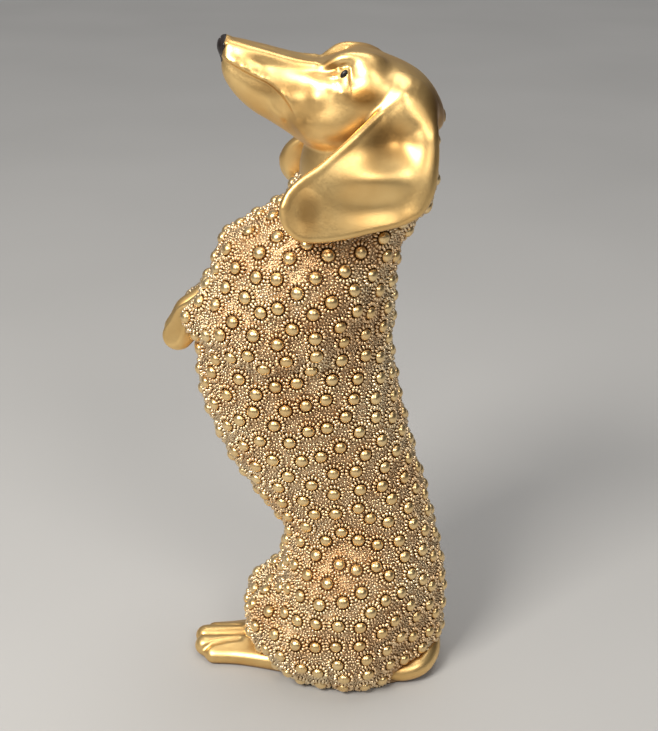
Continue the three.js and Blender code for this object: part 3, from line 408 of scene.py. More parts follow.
# Hollows and swells of the leaf: y, height, length, width, and rise as a share of the depth
EAR_SPOTS = [(20, 220, 9, 7.5, -1.2), (12, 209, 12, 5.5, 0.75), (-11, 198, 3.6, 6, -0.15),
             (15, 199, 12, 5, -0.35)]
EAR_DROP_SHARE = 0.6
EAR_TUCK = 5
EAR_SLANT = 0.93
EAR_RIM_OUT = 1.3
EAR_RIDGE_RISE = 0.4
EAR_RIDGE_WIDTH = 4.4
EAR_RIDGE = smooth_path([(24, 231), (28.5, 224), (30.5, 214), (30.3, 204), (27.5, 197)], 6)
EAR_FRONT = smooth_path([(22.5, 233.4), (16, 229), (9, 223.6), (2, 217.8), (-5, 212.2),
                         (-11.5, 208), (-15.4, 204.2), (-17.2, 200)], 7)


def ear_middle(y, z):
    down = (EAR_ROOT[1] - z) / (EAR_ROOT[1] - EAR_TIP[1])
    forward = (EAR_ROOT[0] - y) / (EAR_ROOT[0] - EAR_TIP[0])
    share = EAR_DROP_SHARE * down + (1 - EAR_DROP_SHARE) * forward
    hang = EAR_ROOT_X + (EAR_TIP_X - EAR_ROOT_X) * share
    relief = sum(rise * np.exp(-((y - cy) / wide) ** 2 - ((z - cz) / tall) ** 2)
                 for cy, cz, wide, tall, rise in EAR_SPOTS)
    ridge = np.exp(-(beside_line(y, z, EAR_RIDGE) / EAR_RIDGE_WIDTH) ** 2)
    relief = relief + EAR_RIDGE_RISE * ridge
    return hang + EAR_HOLLOW_DEPTH * relief - EAR_TUCK * ease((z - 220) / 16)


EAR_RIM = np.column_stack([ear_middle(*EAR_FRONT.T) + EAR_RIM_OUT, EAR_FRONT,
                           np.full(len(EAR_FRONT), EAR_RIM_DIAMETER / 2)])

# The leaf is thicker at its tip, mostly towards the neck
EAR_PAD_AT = np.array([-10.5, 198.0])
EAR_PAD = ((float(ear_middle(*EAR_PAD_AT)) - 0.9, *EAR_PAD_AT), (2.9, 6.6, 8))


def ear_distance(x, y, z):
    side = np.abs(x)
    edge = EAR_THICKNESS / 2
    reach = side > 12
    leaf = np.full(x.shape, FAR)
    at = side[reach], y[reach], z[reach]
    across = np.abs(at[0] - ear_middle(*at[1:])) * EAR_SLANT
    here = across - edge
    near = across < 4 * edge
    in_plane = from_polygon(at[1][near], at[2][near], ear_outline) + edge
    here[near] = np.hypot(np.maximum(in_plane, 0), across[near]) - edge
    here = blend(here, from_limb(*at, EAR_RIM, PATH_JOIN), 1.0)
    leaf[reach] = blend(here, from_ellipsoid(*at, *EAR_PAD), 1.6)
    return leaf


# Paws, feet and tail
PAW = [(x, y, z, share * PAW_DEPTH / 2) for x, y, z, share in
       ((4.8, -46, 153.6, 0.96), (4.4, -51.6, 148.4, 1.02), (3.9, -56.2, 142.4, 0.94))]
# Flats cut from the paw: a place on each and the way it faces
PAW_FACETS = [((8.2, -54.6, 144.6), (0.86, -0.46, 0.22)),
              ((8.5, -54.4, 144.3), (0.93, 0.33, -0.12))]
TOE_IN = smooth_path([(0.27 * FOOT_WIDTH, -49.6, 4.4, 4.2), (0.31 * FOOT_WIDTH, -36, 4.5, 4.3),
                      (0.5 * FOOT_WIDTH, -20, 4.4, 5), (0.75 * FOOT_WIDTH, -5, 4.4, 5.4)], 6)
TOE_OUT = smooth_path([(0.69 * FOOT_WIDTH, -45.8, 3.1, 3.3), (0.75 * FOOT_WIDTH, -36, 3.2, 3.5),
                       (1.0 * FOOT_WIDTH, -22, 3.3, 4), (1.4 * FOOT_WIDTH, -6, 3.6, 4.6)], 6)
TOE_CLEFT = [(5.0, -35.4, 8.4), (5.5, -41.3, 8.1), (6.6, -46.5, 7.3), (8.4, -50.4, 5.6)]
CLEFT_RADIUS = 0.45
CLEFT_DEPTH = 0.8
TAIL = smooth_path([
    (-4, 42.0, 7.8, 4.8), (5, 42.6, 7.8, 4.8), (13.5, 41.2, 6.9, 4.7), (19.6, 37.2, 5.4, 4.4),
    (22.2, 31, 4.2, 3.8), (21.6, 24.6, 3.4, TAIL_TIP_DIAMETER / 2),
], 7)


def paw_distance(x, y, z):
    side = np.abs(x)
    squash = PAW_DEPTH / PAW_WIDTH
    wide = [(px * squash, py, pz, r + 0.3) for px, py, pz, r in PAW]
    d = from_limb(side * squash, y, z, wide, 2) / math.sqrt(squash)
    for at, out in PAW_FACETS:
        d = carve(d, -sum((p - a) * n for p, a, n in zip((side, y, z), at, out)), 0.35)
    return d


def foot_distance(x, y, z):
    side = np.abs(x)
    d = blend(from_limb(side, y, z, TOE_IN, PATH_JOIN),
              from_limb(side, y, z, TOE_OUT, PATH_JOIN), 4)
    cleft = from_limb(side, y, z, [(*p, CLEFT_RADIUS) for p in TOE_CLEFT], 0.2)
    d = d + CLEFT_DEPTH * np.exp(-(np.maximum(cleft, 0) / 0.7) ** 2)
    return np.maximum(d, -z)


def tail_distance(x, y, z):
    return np.maximum(from_limb(x, y, z, TAIL, 0.1), -z)


EAR_BLEND = 2
EAR_ROOT_BLEND = 8


def face_distance(x, y, z):
    root = ease((z - 214) / 14) * ease((y - 14) / 10)
    return blend(head_distance(x, y, z), ear_distance(x, y, z),
                 EAR_BLEND + (EAR_ROOT_BLEND - EAR_BLEND) * root)


def coat_ground(x, y, z):
    return np.maximum(coat_distance(x, y, z) + GROUND_SINK, -z)


def gradient(field, p, step=0.05):
    """Direction in which a distance grows, at each row of p."""
    out = np.empty_like(p)
    for axis in range(3):
        ahead, behind = p.copy(), p.copy()
        ahead[:, axis] += step
        behind[:, axis] -= step
        out[:, axis] = (field(*ahead.T) - field(*behind.T)) / (2 * step)
    return out


def onto_surface(field, p, limit, passes=2):
    """Moves points onto the surface where the distance is zero."""
    p = p.copy()
    for _ in range(passes):
        value = field(*p.T)
        slope = gradient(field, p)
        length = np.maximum(np.linalg.norm(slope, axis=1), 0.3)
        p -= slope / length[:, None] * np.clip(value / length, -limit, limit)[:, None]
    return p


def trace(field, low, high, cell):
    """Closed mesh of the zero surface: one vertex in each cell that it crosses."""
    axes = [np.arange(a, b + cell, cell) for a, b in zip(low, high)]
    shape = tuple(len(a) for a in axes)
    values = np.empty(shape)
    for i, x in enumerate(axes[0]):
        y, z = np.meshgrid(axes[1], axes[2], indexing="ij")
        values[i] = field(np.full(y.shape, x), y, z)
    for axis in range(3):
        edge = np.moveaxis(values, axis, 0)
        edge[0] = np.maximum(edge[0], 0.01)
        edge[-1] = np.maximum(edge[-1], 0.01)
    inside = values < 0
    corners = [(i, j, k) for i in (0, 1) for j in (0, 1) for k in (0, 1)]
    cells = tuple(n - 1 for n in shape)
    count = np.zeros(cells, int)
    for i, j, k in corners:
        count += inside[i:i + cells[0], j:j + cells[1], k:k + cells[2]]
    active = np.argwhere((count > 0) & (count < 8))
    number = np.full(cells, -1)
    number[tuple(active.T)] = np.arange(len(active))
    total = np.zeros((len(active), 3))
    hits = np.zeros(len(active))
    for corner in corners:
        for axis in range(3):
            if corner[axis]:
                continue
            a = active + corner
            b = a.copy()
            b[:, axis] += 1
            va, vb = values[tuple(a.T)], values[tuple(b.T)]
            cut = (va < 0) != (vb < 0)
            share = np.where(cut, va / np.where(cut, va - vb, 1), 0)
            at = a.astype(float)
            at[:, axis] += share
            total[cut] += at[cut]
            hits[cut] += 1
    vertices = total / hits[:, None] * cell + [a[0] for a in axes]
    quads = []
    for axis in range(3):
        u, v = (axis + 1) % 3, (axis + 2) % 3
        ahead = [slice(None)] * 3
        behind = [slice(None)] * 3
        ahead[axis], behind[axis] = slice(1, None), slice(None, -1)
        for sign in (True, False):
            crossed = np.argwhere((inside[tuple(behind)] == sign) & (inside[tuple(ahead)] != sign))
            keep = (crossed[:, u] > 0) & (crossed[:, v] > 0)
            keep &= (crossed[:, u] < shape[u] - 1) & (crossed[:, v] < shape[v] - 1)
            crossed = crossed[keep]
            ring = []
            for du, dv in ((0, 0), (1, 0), (1, 1), (0, 1)):
                cell_at = crossed.copy()
                cell_at[:, u] -= 1 - du
                cell_at[:, v] -= 1 - dv
                ring.append(number[tuple(cell_at.T)])
            quads.append(np.stack(ring if sign else ring[::-1], 1))
    return vertices, np.concatenate(quads)


# The frame lies a little along y from the places above: the paw tips touch the box's front
paw_mesh = trace(paw_distance, (-12, -66, 130), (12, -36, 166), 0.6)
front_of_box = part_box("dog_statue")[0].y * 1000
paw_front = paw_mesh[0][:, 1].min()
SHIFT = np.array([0.0, front_of_box - paw_front, 0.0])


def add_mesh(name, parts, material):
    """One object from parts of vertices in millimetres and faces of one size."""
    vertices = np.concatenate([(np.asarray(v) + SHIFT) / 1000 for v, _ in parts])
    mesh = bpy.data.meshes.new(name)
    loops = np.concatenate([np.asarray(f).ravel() + start for (_, f), start in
                            zip(parts, np.cumsum([0] + [len(v) for v, _ in parts]))])
    sizes = np.concatenate([np.full(len(f), np.asarray(f).shape[1]) for _, f in parts])
    mesh.vertices.add(len(vertices))
    mesh.vertices.foreach_set("co", vertices.ravel())
    mesh.loops.add(len(loops))
    mesh.loops.foreach_set("vertex_index", loops)
    mesh.polygons.add(len(sizes))
    mesh.polygons.foreach_set("loop_start", np.cumsum(sizes) - sizes)
    mesh.polygons.foreach_set("use_smooth", np.ones(len(sizes), bool))
    mesh.update(calc_edges=True)
    mesh.validate()
    mesh.materials.append(material)
    piece = bpy.data.objects.new(name, mesh)
    bpy.context.scene.collection.objects.link(piece)
    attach(piece, "root")
    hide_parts("dog_statue")
    return piece


# Materials
def new_material(name):
    material = bpy.data.materials.new(name)
    material.use_nodes = True
    nodes = material.node_tree.nodes
    nodes.clear()
    output = nodes.new("ShaderNodeOutputMaterial")
    shader = nodes.new("ShaderNodeBsdfPrincipled")
    material.node_tree.links.new(shader.outputs["BSDF"], output.inputs["Surface"])
    return material, nodes, material.node_tree.links, shader


def noise(nodes, links, scale, detail):
    """Noise fixed to the object, with scale in cells per metre."""
    place = nodes.new("ShaderNodeTexCoord")
    node = nodes.new("ShaderNodeTexNoise")
    node.inputs["Scale"].default_value = scale
    node.inputs["Detail"].default_value = detail
    links.new(place.outputs["Object"], node.inputs["Vector"])
    return node


def ramp(nodes, links, source, stops):
    """Colours by a value, from stops of place and colour."""
    node = nodes.new("ShaderNodeValToRGB")
    while len(node.color_ramp.elements) < len(stops):
        node.color_ramp.elements.new(0.5)
    for element, (place, colour) in zip(node.color_ramp.elements, stops):
        element.position = place
        element.color = (*colour, 1)
    links.new(source, node.inputs["Fac"])
    return node


def grey(value):
    return (value, value, value)


def gold_material(name, light, dark, hollow_shade, roughness, grain, grain_scale, grain_depth, reach,
                  shade_spots=()):
    """Metallic paint: two golds in soft clouds, painted shade in dark brown where ambient
    occlusion finds hollows and creases, brown spots of painted shade, a fine grain.
    """
    material, nodes, links, shader = new_material(name)
    shader.inputs["Metallic"].default_value = 1.0
    clouds = ramp(nodes, links, noise(nodes, links, 60, 3).outputs["Fac"],
                  [(0.35, dark), (0.65, light)])
    # Painted shade: a dark brown is mixed in where ambient occlusion finds the surface hidden, in
    # hollows, creases and the gaps between beads
    hidden = nodes.new("ShaderNodeAmbientOcclusion")
    hidden.inputs["Distance"].default_value = reach
    hidden.samples = 4
    open_share = ramp(nodes, links, hidden.outputs["AO"], [(0.25, grey(0.0)), (0.8, grey(1.0))])
    mix = nodes.new("ShaderNodeMix")
    mix.data_type = "RGBA"
    links.new(open_share.outputs["Color"], mix.inputs["Factor"])
    mix.inputs["A"].default_value = (*hollow_shade, 1)
    links.new(clouds.outputs["Color"], mix.inputs["B"])
    colour = mix.outputs["Result"]
    # Painted shade: brown spots where the figure lies in shade or reflects dark surroundings
    for middle, radii, share in shade_spots:
        colour = mix_painted_shade(nodes, links, colour, middle, radii, share)
    links.new(colour, shader.inputs["Base Color"])
    fine = noise(nodes, links, grain_scale, 2)
    rough = ramp(nodes, links, fine.outputs["Fac"],
                 [(0.3, grey(roughness - 0.05)), (0.7, grey(roughness + 0.07))])
    links.new(rough.outputs["Color"], shader.inputs["Roughness"])
    relief = nodes.new("ShaderNodeBump")
    relief.inputs["Strength"].default_value = grain
    relief.inputs["Distance"].default_value = grain_depth
    links.new(fine.outputs["Fac"], relief.inputs["Height"])
    links.new(relief.outputs["Normal"], shader.inputs["Normal"])
    return material


def mix_painted_shade(nodes, links, colour, middle, radii, share):
    """Mixes a soft brown spot of painted shade, an ellipsoid on both sides of the dog, into a
    colour.
    """
    place = nodes.new("ShaderNodeTexCoord")
    both = nodes.new("ShaderNodeVectorMath")
    both.operation = "ABSOLUTE"
    links.new(place.outputs["Object"], both.inputs[0])
    split = nodes.new("ShaderNodeSeparateXYZ")
    links.new(both.outputs["Vector"], split.inputs["Vector"])
    signed = nodes.new("ShaderNodeSeparateXYZ")
    links.new(place.outputs["Object"], signed.inputs["Vector"])
    joined = nodes.new("ShaderNodeCombineXYZ")
    links.new(split.outputs["X"], joined.inputs["X"])
    links.new(signed.outputs["Y"], joined.inputs["Y"])
    links.new(signed.outputs["Z"], joined.inputs["Z"])
    away = nodes.new("ShaderNodeVectorMath")
    away.operation = "SUBTRACT"
    links.new(joined.outputs["Vector"], away.inputs[0])
    away.inputs[1].default_value = [(m + shift) / 1000 for m, shift in zip(middle, SHIFT)]
    unit = nodes.new("ShaderNodeVectorMath")
    unit.operation = "DIVIDE"
    links.new(away.outputs["Vector"], unit.inputs[0])
    unit.inputs[1].default_value = [radius / 1000 for radius in radii]
    length = nodes.new("ShaderNodeVectorMath")
    length.operation = "LENGTH"
    links.new(unit.outputs["Vector"], length.inputs[0])
    soft = ramp(nodes, links, length.outputs["Value"], [(0.4, grey(share)), (1.0, grey(0.0))])
    mix = nodes.new("ShaderNodeMix")
    mix.data_type = "RGBA"
    mix.blend_type = "MULTIPLY"
    links.new(soft.outputs["Color"], mix.inputs["Factor"])
    links.new(colour, mix.inputs["A"])
    mix.inputs["B"].default_value = PAINTED_SHADE_BROWN
    return mix.outputs["Result"]


def paint_material(name, colour, roughness):
    material, nodes, links, shader = new_material(name)
    tone = ramp(nodes, links, noise(nodes, links, 900, 2).outputs["Fac"],
                [(0.3, colour), (0.8, tuple(1.8 * c + 0.004 for c in colour))])
    links.new(tone.outputs["Color"], shader.inputs["Base Color"])
    shader.inputs["Roughness"].default_value = roughness
    shader.inputs["Coat Weight"].default_value = 0.1
    shader.inputs["Specular IOR Level"].default_value = 0.3
    relief = nodes.new("ShaderNodeBump")
    relief.inputs["Strength"].default_value = 0.15
    relief.inputs["Distance"].default_value = 0.0001
    links.new(noise(nodes, links, 2500, 2).outputs["Fac"], relief.inputs["Height"])
    links.new(relief.outputs["Normal"], shader.inputs["Normal"])
    return material


# Painted shade and painted dark reflections on the smooth gold, as brown spots on the ear, temple,
# cheek, lip and back of the head: middle and radii in mm, and strength
PAINTED_SHADE_BROWN = (0.42, 0.30, 0.17, 1)
PAINTED_SHADE_SPOTS = [((24, 18, 221), (14, 12, 8), 0.6), ((34, -9, 197), (9, 4.6, 10), 0.5),
          ((17, 10, 233.5), (9, 9, 5), 0.9), ((8, -10, 223), (9, 9, 5.5), 0.6),
          ((10, -20, 234.5), (8, 11, 4), 0.5), ((14, 37, 227), (16, 9, 14), 0.8),
          ((10, -0.5, 242.2), (6, 4, 2.4), 0.9), ((10, 15, 243), (9, 9, 6), 0.3)]
# The dark brown given to each gold is painted shade in its hollows and gaps
smooth_gold = gold_material(
    "satin_gold", light=(0.90, 0.63, 0.27), dark=(0.78, 0.50, 0.19), hollow_shade=(0.32, 0.15, 0.04),
    roughness=0.38, grain=0.3, grain_scale=2200, grain_depth=0.00005, reach=0.004, shade_spots=PAINTED_SHADE_SPOTS)
stud_gold = gold_material(
    "stud_gold", light=(0.95, 0.72, 0.38), dark=(0.86, 0.60, 0.28), hollow_shade=(0.26, 0.13, 0.04),
    roughness=0.30, grain=0.4, grain_scale=1500, grain_depth=0.0002, reach=0.0016)
bead_gold = gold_material(
    "bead_gold", light=(1.0, 0.83, 0.55), dark=(0.90, 0.64, 0.37), hollow_shade=(0.26, 0.14, 0.06),
    roughness=0.33, grain=0.3, grain_scale=1500, grain_depth=0.0002, reach=0.0011)
ground_gold = gold_material(
    "ground_gold", light=(0.84, 0.60, 0.36), dark=(0.52, 0.33, 0.17), hollow_shade=(0.16, 0.07, 0.03),
    roughness=0.38, grain=1.0, grain_scale=1300, grain_depth=0.0006, reach=0.0014)
black_paint = paint_material("black_paint", (0.010, 0.007, 0.007), 0.34)

# The casting's smooth parts
FACE_CELL = 0.58
FOOT_CELL = 0.7
face = trace(face_distance, (-42, -42, 184), (42, 42, 254), FACE_CELL)
feet = trace(foot_distance, (-30, -58, -2), (30, 6, 16), FOOT_CELL)
tail = trace(tail_distance, (-12, 16, -2), (32, 52, 12), FOOT_CELL)
smooth_parts = [(onto_surface(field, v, 0.3), f) for field, (v, f) in
                ((face_distance, face), (paw_distance, paw_mesh), (foot_distance, feet),
                 (tail_distance, tail))]
add_mesh("smooth_cast", smooth_parts, smooth_gold)

# The rough ground of the coat, in an upper and a lower piece
random = np.random.default_rng(7)
ground = trace(coat_ground, (-44, -62, -3), (44, 56, 226), GROUND_CELL)
ground = (onto_surface(coat_ground, ground[0], 0.4), ground[1])
out = gradient(coat_ground, ground[0])
out /= np.linalg.norm(out, axis=1)[:, None]
rough = random.uniform(-GROUND_GRAIN, GROUND_GRAIN, len(out)) * (ground[0][:, 2] > 1)
grainy = ground[0] + out * rough[:, None]
middles = grainy[ground[1]].mean(axis=1)
upper = middles[:, 2] > GROUND_SPLIT_HEIGHT


def part_of(vertices, faces):
    """Only the vertices that the faces use."""
    used, renumbered = np.unique(faces, return_inverse=True)
    return vertices[used], renumbered.reshape(faces.shape)


add_mesh("coat_ground_upper", [part_of(grainy, ground[1][upper])], ground_gold)
add_mesh("coat_ground_lower", [part_of(grainy, ground[1][~upper])], ground_gold)

# Studs: where the solid has them
co = np.array([v.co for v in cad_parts["dog_statue"].data.vertices]) * 1000 - SHIFT
co = np.unique(co.round(3), axis=0)


def smooth_distance(x, y, z):
    d = np.minimum(face_distance(x, y, z), paw_distance(x, y, z))
    d = np.minimum(d, foot_distance(x, y, z))
    return np.minimum(d, from_limb(x, y, z, TAIL, 2))


height_over_coat = coat_distance(*co.T)
lowest, highest = (share * STUD_RISE for share in TOP_SHARES)
tops = co[(height_over_coat > lowest) & (height_over_coat < highest)
          & (smooth_distance(*co.T) > TOP_CLEARANCE)]
keep = []
for i, top in enumerate(tops):
    if all(np.linalg.norm(top - tops[j]) > STUD_DIAMETER for j in keep):
        keep.append(i)
studs = onto_surface(coat_distance, tops[keep], 3)


def frames_at(points):
    """Two directions along the coat and the one out of it, at each point."""
    out = gradient(coat_distance, points)
    out /= np.linalg.norm(out, axis=1)[:, None]
    helper = np.where(np.abs(out[:, 2:]) < 0.9, [[0, 0, 1.0]], [[1.0, 0, 0]])
    along = np.cross(helper, out)
    along /= np.linalg.norm(along, axis=1)[:, None]
    return along, np.cross(out, along), out


def sparse(points, gap, taken, taken_gap):
    """The points that keep their distance from those before them and from the taken ones."""
    grid = {}
    size = max(gap, taken_gap)

    def near(table, p, reach):
        home = tuple((p // size).astype(int))
        for di in (-1, 0, 1):
            for dj in (-1, 0, 1):
                for dk in (-1, 0, 1):
                    for q in table.get((home[0] + di, home[1] + dj, home[2] + dk), ()):
                        if (p[0] - q[0]) ** 2 + (p[1] - q[1]) ** 2 + (p[2] - q[2]) ** 2 < reach:
                            return True
        return False

    fixed = {}
    for q in taken:
        fixed.setdefault(tuple((q // size).astype(int)), []).append(q)
    kept = []
    for i, p in enumerate(points):
        if near(fixed, p, taken_gap ** 2) or near(grid, p, gap ** 2):
            continue
        grid.setdefault(tuple((p // size).astype(int)), []).append(p)
        kept.append(i)
    return points[kept]


# Where the solid has none, studs fill the coat up at the same pitch
fill_margin = 0.5 * STUD_DIAMETER + 0.6
fill = onto_surface(coat_distance, ground[0][::5], 2)
fill = fill[(fill[:, 2] > fill_margin) & (smooth_distance(*fill.T) > fill_margin)]
to_stud = np.min([np.linalg.norm(fill - stud, axis=1) for stud in studs], axis=0)
while to_stud.max() > WIDEST_GAP * STUD_PITCH:
    farthest = fill[to_stud.argmax()]
    studs = np.vstack([studs, farthest])
    to_stud = np.minimum(to_stud, np.linalg.norm(fill - farthest, axis=1))


def blob(sides, rings):
    """Closed-topped blob from rings of radius and height, with its apex last."""
    vertices = []
    for ring, (radius, height) in enumerate(rings[:-1]):
        turn = ring * math.pi / sides
        vertices += [(radius * math.cos(turn + 2 * math.pi * s / sides),
                      radius * math.sin(turn + 2 * math.pi * s / sides), height)
                     for s in range(sides)]
    vertices.append((0, 0, rings[-1][1]))
    faces = []
    for s in range(sides):
        n = (s + 1) % sides
        for ring in range(len(rings) - 2):
            a, b = ring * sides + s, ring * sides + n
            faces += [(a, b, a + sides), (b, b + sides, a + sides)]
        top = (len(rings) - 2) * sides
        faces.append((top + s, top + n, len(vertices) - 1))
    return np.array(vertices), np.array(faces)


def placed(shape, points, axes, sizes):
    """Copies of a shape at the points, along three directions with a size for each."""
    vertices, faces = shape
    spots = points[:, None] + sum(vertices[None, :, i, None] * sizes[i][:, None, None]
                                  * axes[i][:, None] for i in range(3))
    offsets = np.arange(len(points))[:, None, None] * len(vertices)
    return spots.reshape(-1, 3), (faces[None] + offsets).reshape(-1, 3)


# Domes of the studs
along, across, out = frames_at(studs)
radius = STUD_DIAMETER / 2 * random.uniform(0.96, 1.06, len(studs))
dome = blob(16, [(1, -0.35)] + [(math.cos(a), 0.08 + 0.74 * math.sin(a))
                                for a in np.radians([0, 22, 44, 66, 90])])
add_mesh("coat_studs", [placed(dome, studs, (along, across, out), (radius, radius, radius))],
         stud_gold)

# A ring of beads round each stud, each a little longer outwards
turns = random.uniform(0, 2 * np.pi, len(studs))[:, None]
turns = turns + 2 * np.pi * np.arange(BEADS_ROUND_STUD) / BEADS_ROUND_STUD
spokes = (np.cos(turns)[..., None] * along[:, None] + np.sin(turns)[..., None] * across[:, None])
beads = (studs[:, None] + BEAD_RING_DIAMETER / 2 * spokes).reshape(-1, 3)
owner = np.repeat(np.arange(len(studs)), BEADS_ROUND_STUD)
beads = onto_surface(coat_distance, beads, 2)
own = np.linalg.norm(beads - studs[owner], axis=1)
others = np.full(len(beads), np.inf)
for index, stud in enumerate(studs):
    away = np.linalg.norm(beads - stud, axis=1)
    others = np.where(owner == index, others, np.minimum(others, away))
fits = (own < 0.62 * BEAD_RING_DIAMETER) & (others > 0.5 * BEAD_RING_DIAMETER - 0.1)
fits &= (beads[:, 2] > 0.6 * BEAD_LENGTH) & (smooth_distance(*beads.T) > BEAD_CLEARANCE)
beads, owner = beads[fits], owner[fits]
_, _, out = frames_at(beads)
spoke = beads - studs[owner]
spoke -= out * (spoke * out).sum(axis=1)[:, None]
spoke /= np.linalg.norm(spoke, axis=1)[:, None]
varied = random.uniform(0.85, 1.12, (3, len(beads)))
bead = blob(6, [(1, -0.5), (0.86, 0.55), (0, 0.95)])
add_mesh("coat_beads", [placed(bead, beads, (spoke, np.cross(out, spoke), out),
                               (BEAD_LENGTH / 2 * varied[0], BEAD_WIDTH / 2 * varied[1],
                                BEAD_RISE * varied[2]))], bead_gold)

# Grains between the rings, spread over the ground by its area
corners = ground[0][ground[1]]
diagonals = corners[:, 2] - corners[:, 0], corners[:, 3] - corners[:, 1]
areas = np.linalg.norm(np.cross(*diagonals), axis=1)
picked = random.choice(len(areas), GRAIN_TRIES, p=areas / areas.sum())
u, v = random.random((2, len(picked), 1))
c = corners[picked]
spots = (1 - u) * ((1 - v) * c[:, 0] + v * c[:, 3]) + u * ((1 - v) * c[:, 1] + v * c[:, 2])
spots = onto_surface(coat_distance, spots, 2)
spots = spots[(spots[:, 2] > GRAIN_LOWEST) & (smooth_distance(*spots.T) > GRAIN_CLEARANCE)]
spots = sparse(spots, 0.4, studs, 0.5 * STUD_DIAMETER + 0.3)
grains = sparse(spots, GRAIN_PITCH, beads, 0.5 * (BEAD_WIDTH + 0.6 * GRAIN_DIAMETER))
along, across, out = frames_at(grains)
varied = random.uniform(0.7, 1.2, (3, len(grains)))
grain = blob(5, [(1, -0.4), (0, 1)])
add_mesh("coat_grains", [placed(grain, grains - out * GRAIN_SINK, (along, across, out),
                                (GRAIN_DIAMETER / 2 * varied[0], GRAIN_DIAMETER / 2 * varied[1],
                                 GRAIN_RISE * varied[2]))], bead_gold)

# Eyes and nose
def ball(radii, sides=20, rings=12):
    """Closed ellipsoid around the origin."""
    vertices = [(0, 0, 1.0)]
    for ring in range(1, rings):
        angle = math.pi * ring / rings
        vertices += [(math.sin(angle) * math.cos(2 * math.pi * s / sides),
                      math.sin(angle) * math.sin(2 * math.pi * s / sides), math.cos(angle))
                     for s in range(sides)]
    vertices.append((0, 0, -1.0))
    last = len(vertices) - 1
    faces = []
    for s in range(sides):
        n = (s + 1) % sides
        faces.append((0, 1 + s, 1 + n))
        for ring in range(rings - 2):
            a, b = 1 + ring * sides + s, 1 + ring * sides + n
            faces += [(a, a + sides, b), (b, a + sides, b + sides)]
        faces.append((1 + (rings - 2) * sides + n, 1 + (rings - 2) * sides + s, last))
    return np.array(vertices) * radii, np.array(faces)


def nose_paint(x, y, z):
    return np.maximum(face_distance(x, y, z) - 0.15,
                      from_ellipsoid(x, y, z, (0, -38.2, 246.4), (5, 3.5, 4.9)))


def cheek_x(y, z):
    """Outermost place of the face at the given place of the side view."""
    x = np.arange(8, 24, 0.05)
    inside = face_distance(x, np.full(x.shape, y), np.full(x.shape, z)) < 0
    return x[inside].max()


EYE_AT = (3.0, 239.9)
EYE_RADII = (0.9, 1.15, 1.85)
EYE_LEAN = math.radians(28)
EYE_SINK = 0.15
eye_x = cheek_x(*EYE_AT) - EYE_SINK
ball_vertices, ball_faces = ball(EYE_RADII)
ball_x, ball_y, ball_z = ball_vertices.T
turned_y = ball_y * math.cos(EYE_LEAN) + ball_z * math.sin(EYE_LEAN)
turned_z = ball_z * math.cos(EYE_LEAN) - ball_y * math.sin(EYE_LEAN)
eyes = []
for side in (1, -1):
    turned = np.stack([ball_x * side, turned_y, turned_z], 1)
    # The mirrored eye turns its faces round, so that they look outwards
    eyes.append((turned + (side * eye_x, *EYE_AT), ball_faces[:, ::side]))
nose = trace(nose_paint, (-6, -42, 241), (6, -34, 253), 0.3)
add_mesh("nose_paint", [(onto_surface(nose_paint, nose[0], 0.15), nose[1])], black_paint)
add_mesh("eyes", eyes, black_paint)

# Camera: where the photograph was taken from
CAMERA_DISTANCE = 0.43567
CAMERA_HEIGHT = 0.31404
CAMERA_PITCH = math.radians(23.07)
CAMERA_ROLL = math.radians(0.86)
DOG_TURN = math.radians(2.3)
FOCAL_LENGTH_MM = 61.56
turn_back = Matrix.Rotation(-DOG_TURN, 3, "Z")
level_up = Vector((-math.sin(CAMERA_PITCH), 0, math.cos(CAMERA_PITCH)))
level_right = Vector((0, 1, 0))
right = turn_back @ (level_right * math.cos(CAMERA_ROLL) + level_up * math.sin(CAMERA_ROLL))
up = turn_back @ (level_up * math.cos(CAMERA_ROLL) - level_right * math.sin(CAMERA_ROLL))
camera_data = bpy.data.cameras.new("camera")
camera_data.lens = FOCAL_LENGTH_MM
camera_data.sensor_width = 36
camera_data.clip_start = 0.01
camera = bpy.data.objects.new("camera", camera_data)
bpy.context.scene.collection.objects.link(camera)
place = turn_back @ Vector((CAMERA_DISTANCE, 0, CAMERA_HEIGHT)) + Vector((0, SHIFT[1] / 1000, 0))
axes = Matrix((right, up, right.cross(up))).transposed()
camera.matrix_world = Matrix.Translation(place) @ axes.to_4x4()
bpy.context.scene.camera = camera

# Floor and light
FLOOR_REACH = 6
floor_material, nodes, links, shader = new_material("floor")
floor_tone = ramp(nodes, links, noise(nodes, links, 3, 2).outputs["Fac"],
                  [(0.3, (0.41, 0.41, 0.41)), (0.7, (0.44, 0.44, 0.44))])
links.new(floor_tone.outputs["Color"], shader.inputs["Base Color"])
shader.inputs["Roughness"].default_value = 0.8
shader.inputs["Specular IOR Level"].default_value = 0.2
floor_mesh = bpy.data.meshes.new("floor")
reach = FLOOR_REACH
floor_mesh.from_pydata([(-reach, -reach, 0), (reach, -reach, 0), (reach, reach, 0),
                        (-reach, reach, 0)], [], [(0, 1, 2, 3)])
floor_mesh.materials.append(floor_material)
floor = bpy.data.objects.new("floor", floor_mesh)
bpy.context.scene.collection.objects.link(floor)


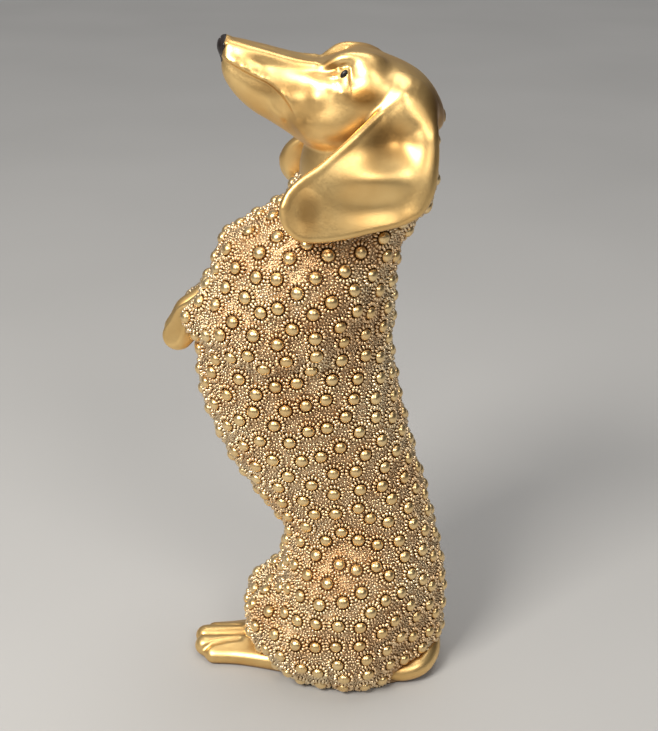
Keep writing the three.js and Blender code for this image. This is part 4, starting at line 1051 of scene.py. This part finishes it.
def area_light(name, place, target, size, power, colour):
    data = bpy.data.lights.new(name, "AREA")
    data.shape = "RECTANGLE"
    data.size, data.size_y = size
    data.energy = power
    data.color = colour
    light = bpy.data.objects.new(name, data)
    light.location = place
    light.rotation_euler = (Vector(target) - Vector(place)).to_track_quat("-Z", "Y").to_euler()
    bpy.context.scene.collection.objects.link(light)


area_light("key", (0.70, -0.62, 0.95), (0, 0, 0.13), (0.46, 0.36), 16.5, (1.0, 0.95, 0.87))
area_light("side", (0.95, 0.45, 0.95), (0, 0, 0.15), (0.42, 0.34), 4, (1.0, 0.95, 0.88))
sun = bpy.data.lights.new("overhead", "SUN")
sun.energy = 0.9
sun.angle = math.radians(35)
sun.color = (1.0, 0.97, 0.93)
overhead = bpy.data.objects.new("overhead", sun)
overhead.rotation_euler = (math.radians(-8), math.radians(-10), 0)
bpy.context.scene.collection.objects.link(overhead)
world = bpy.data.worlds.new("world")
world.use_nodes = True
sky = world.node_tree.nodes
direction = sky.new("ShaderNodeTexCoord")
split = sky.new("ShaderNodeSeparateXYZ")
world.node_tree.links.new(direction.outputs["Generated"], split.inputs["Vector"])
sky_tone = ramp(sky, world.node_tree.links, split.outputs["Z"],
                [(0.0, (0.26, 0.25, 0.25)), (0.25, (0.34, 0.33, 0.32)), (0.6, (0.62, 0.61, 0.60)),
                 (1.0, (0.85, 0.84, 0.82))])
dark_side = ramp(sky, world.node_tree.links, split.outputs["Y"],
                 [(0.0, grey(1.0)), (0.7, grey(0.3))])
dimmed = sky.new("ShaderNodeMix")
dimmed.data_type = "RGBA"
dimmed.blend_type = "MULTIPLY"
dimmed.inputs["Factor"].default_value = 1.0
world.node_tree.links.new(sky_tone.outputs["Color"], dimmed.inputs["A"])
world.node_tree.links.new(dark_side.outputs["Color"], dimmed.inputs["B"])
world.node_tree.links.new(dimmed.outputs["Result"], sky["Background"].inputs["Color"])
sky["Background"].inputs["Strength"].default_value = 0.6
bpy.context.scene.world = world
bpy.context.scene.view_settings.view_transform = "Standard"
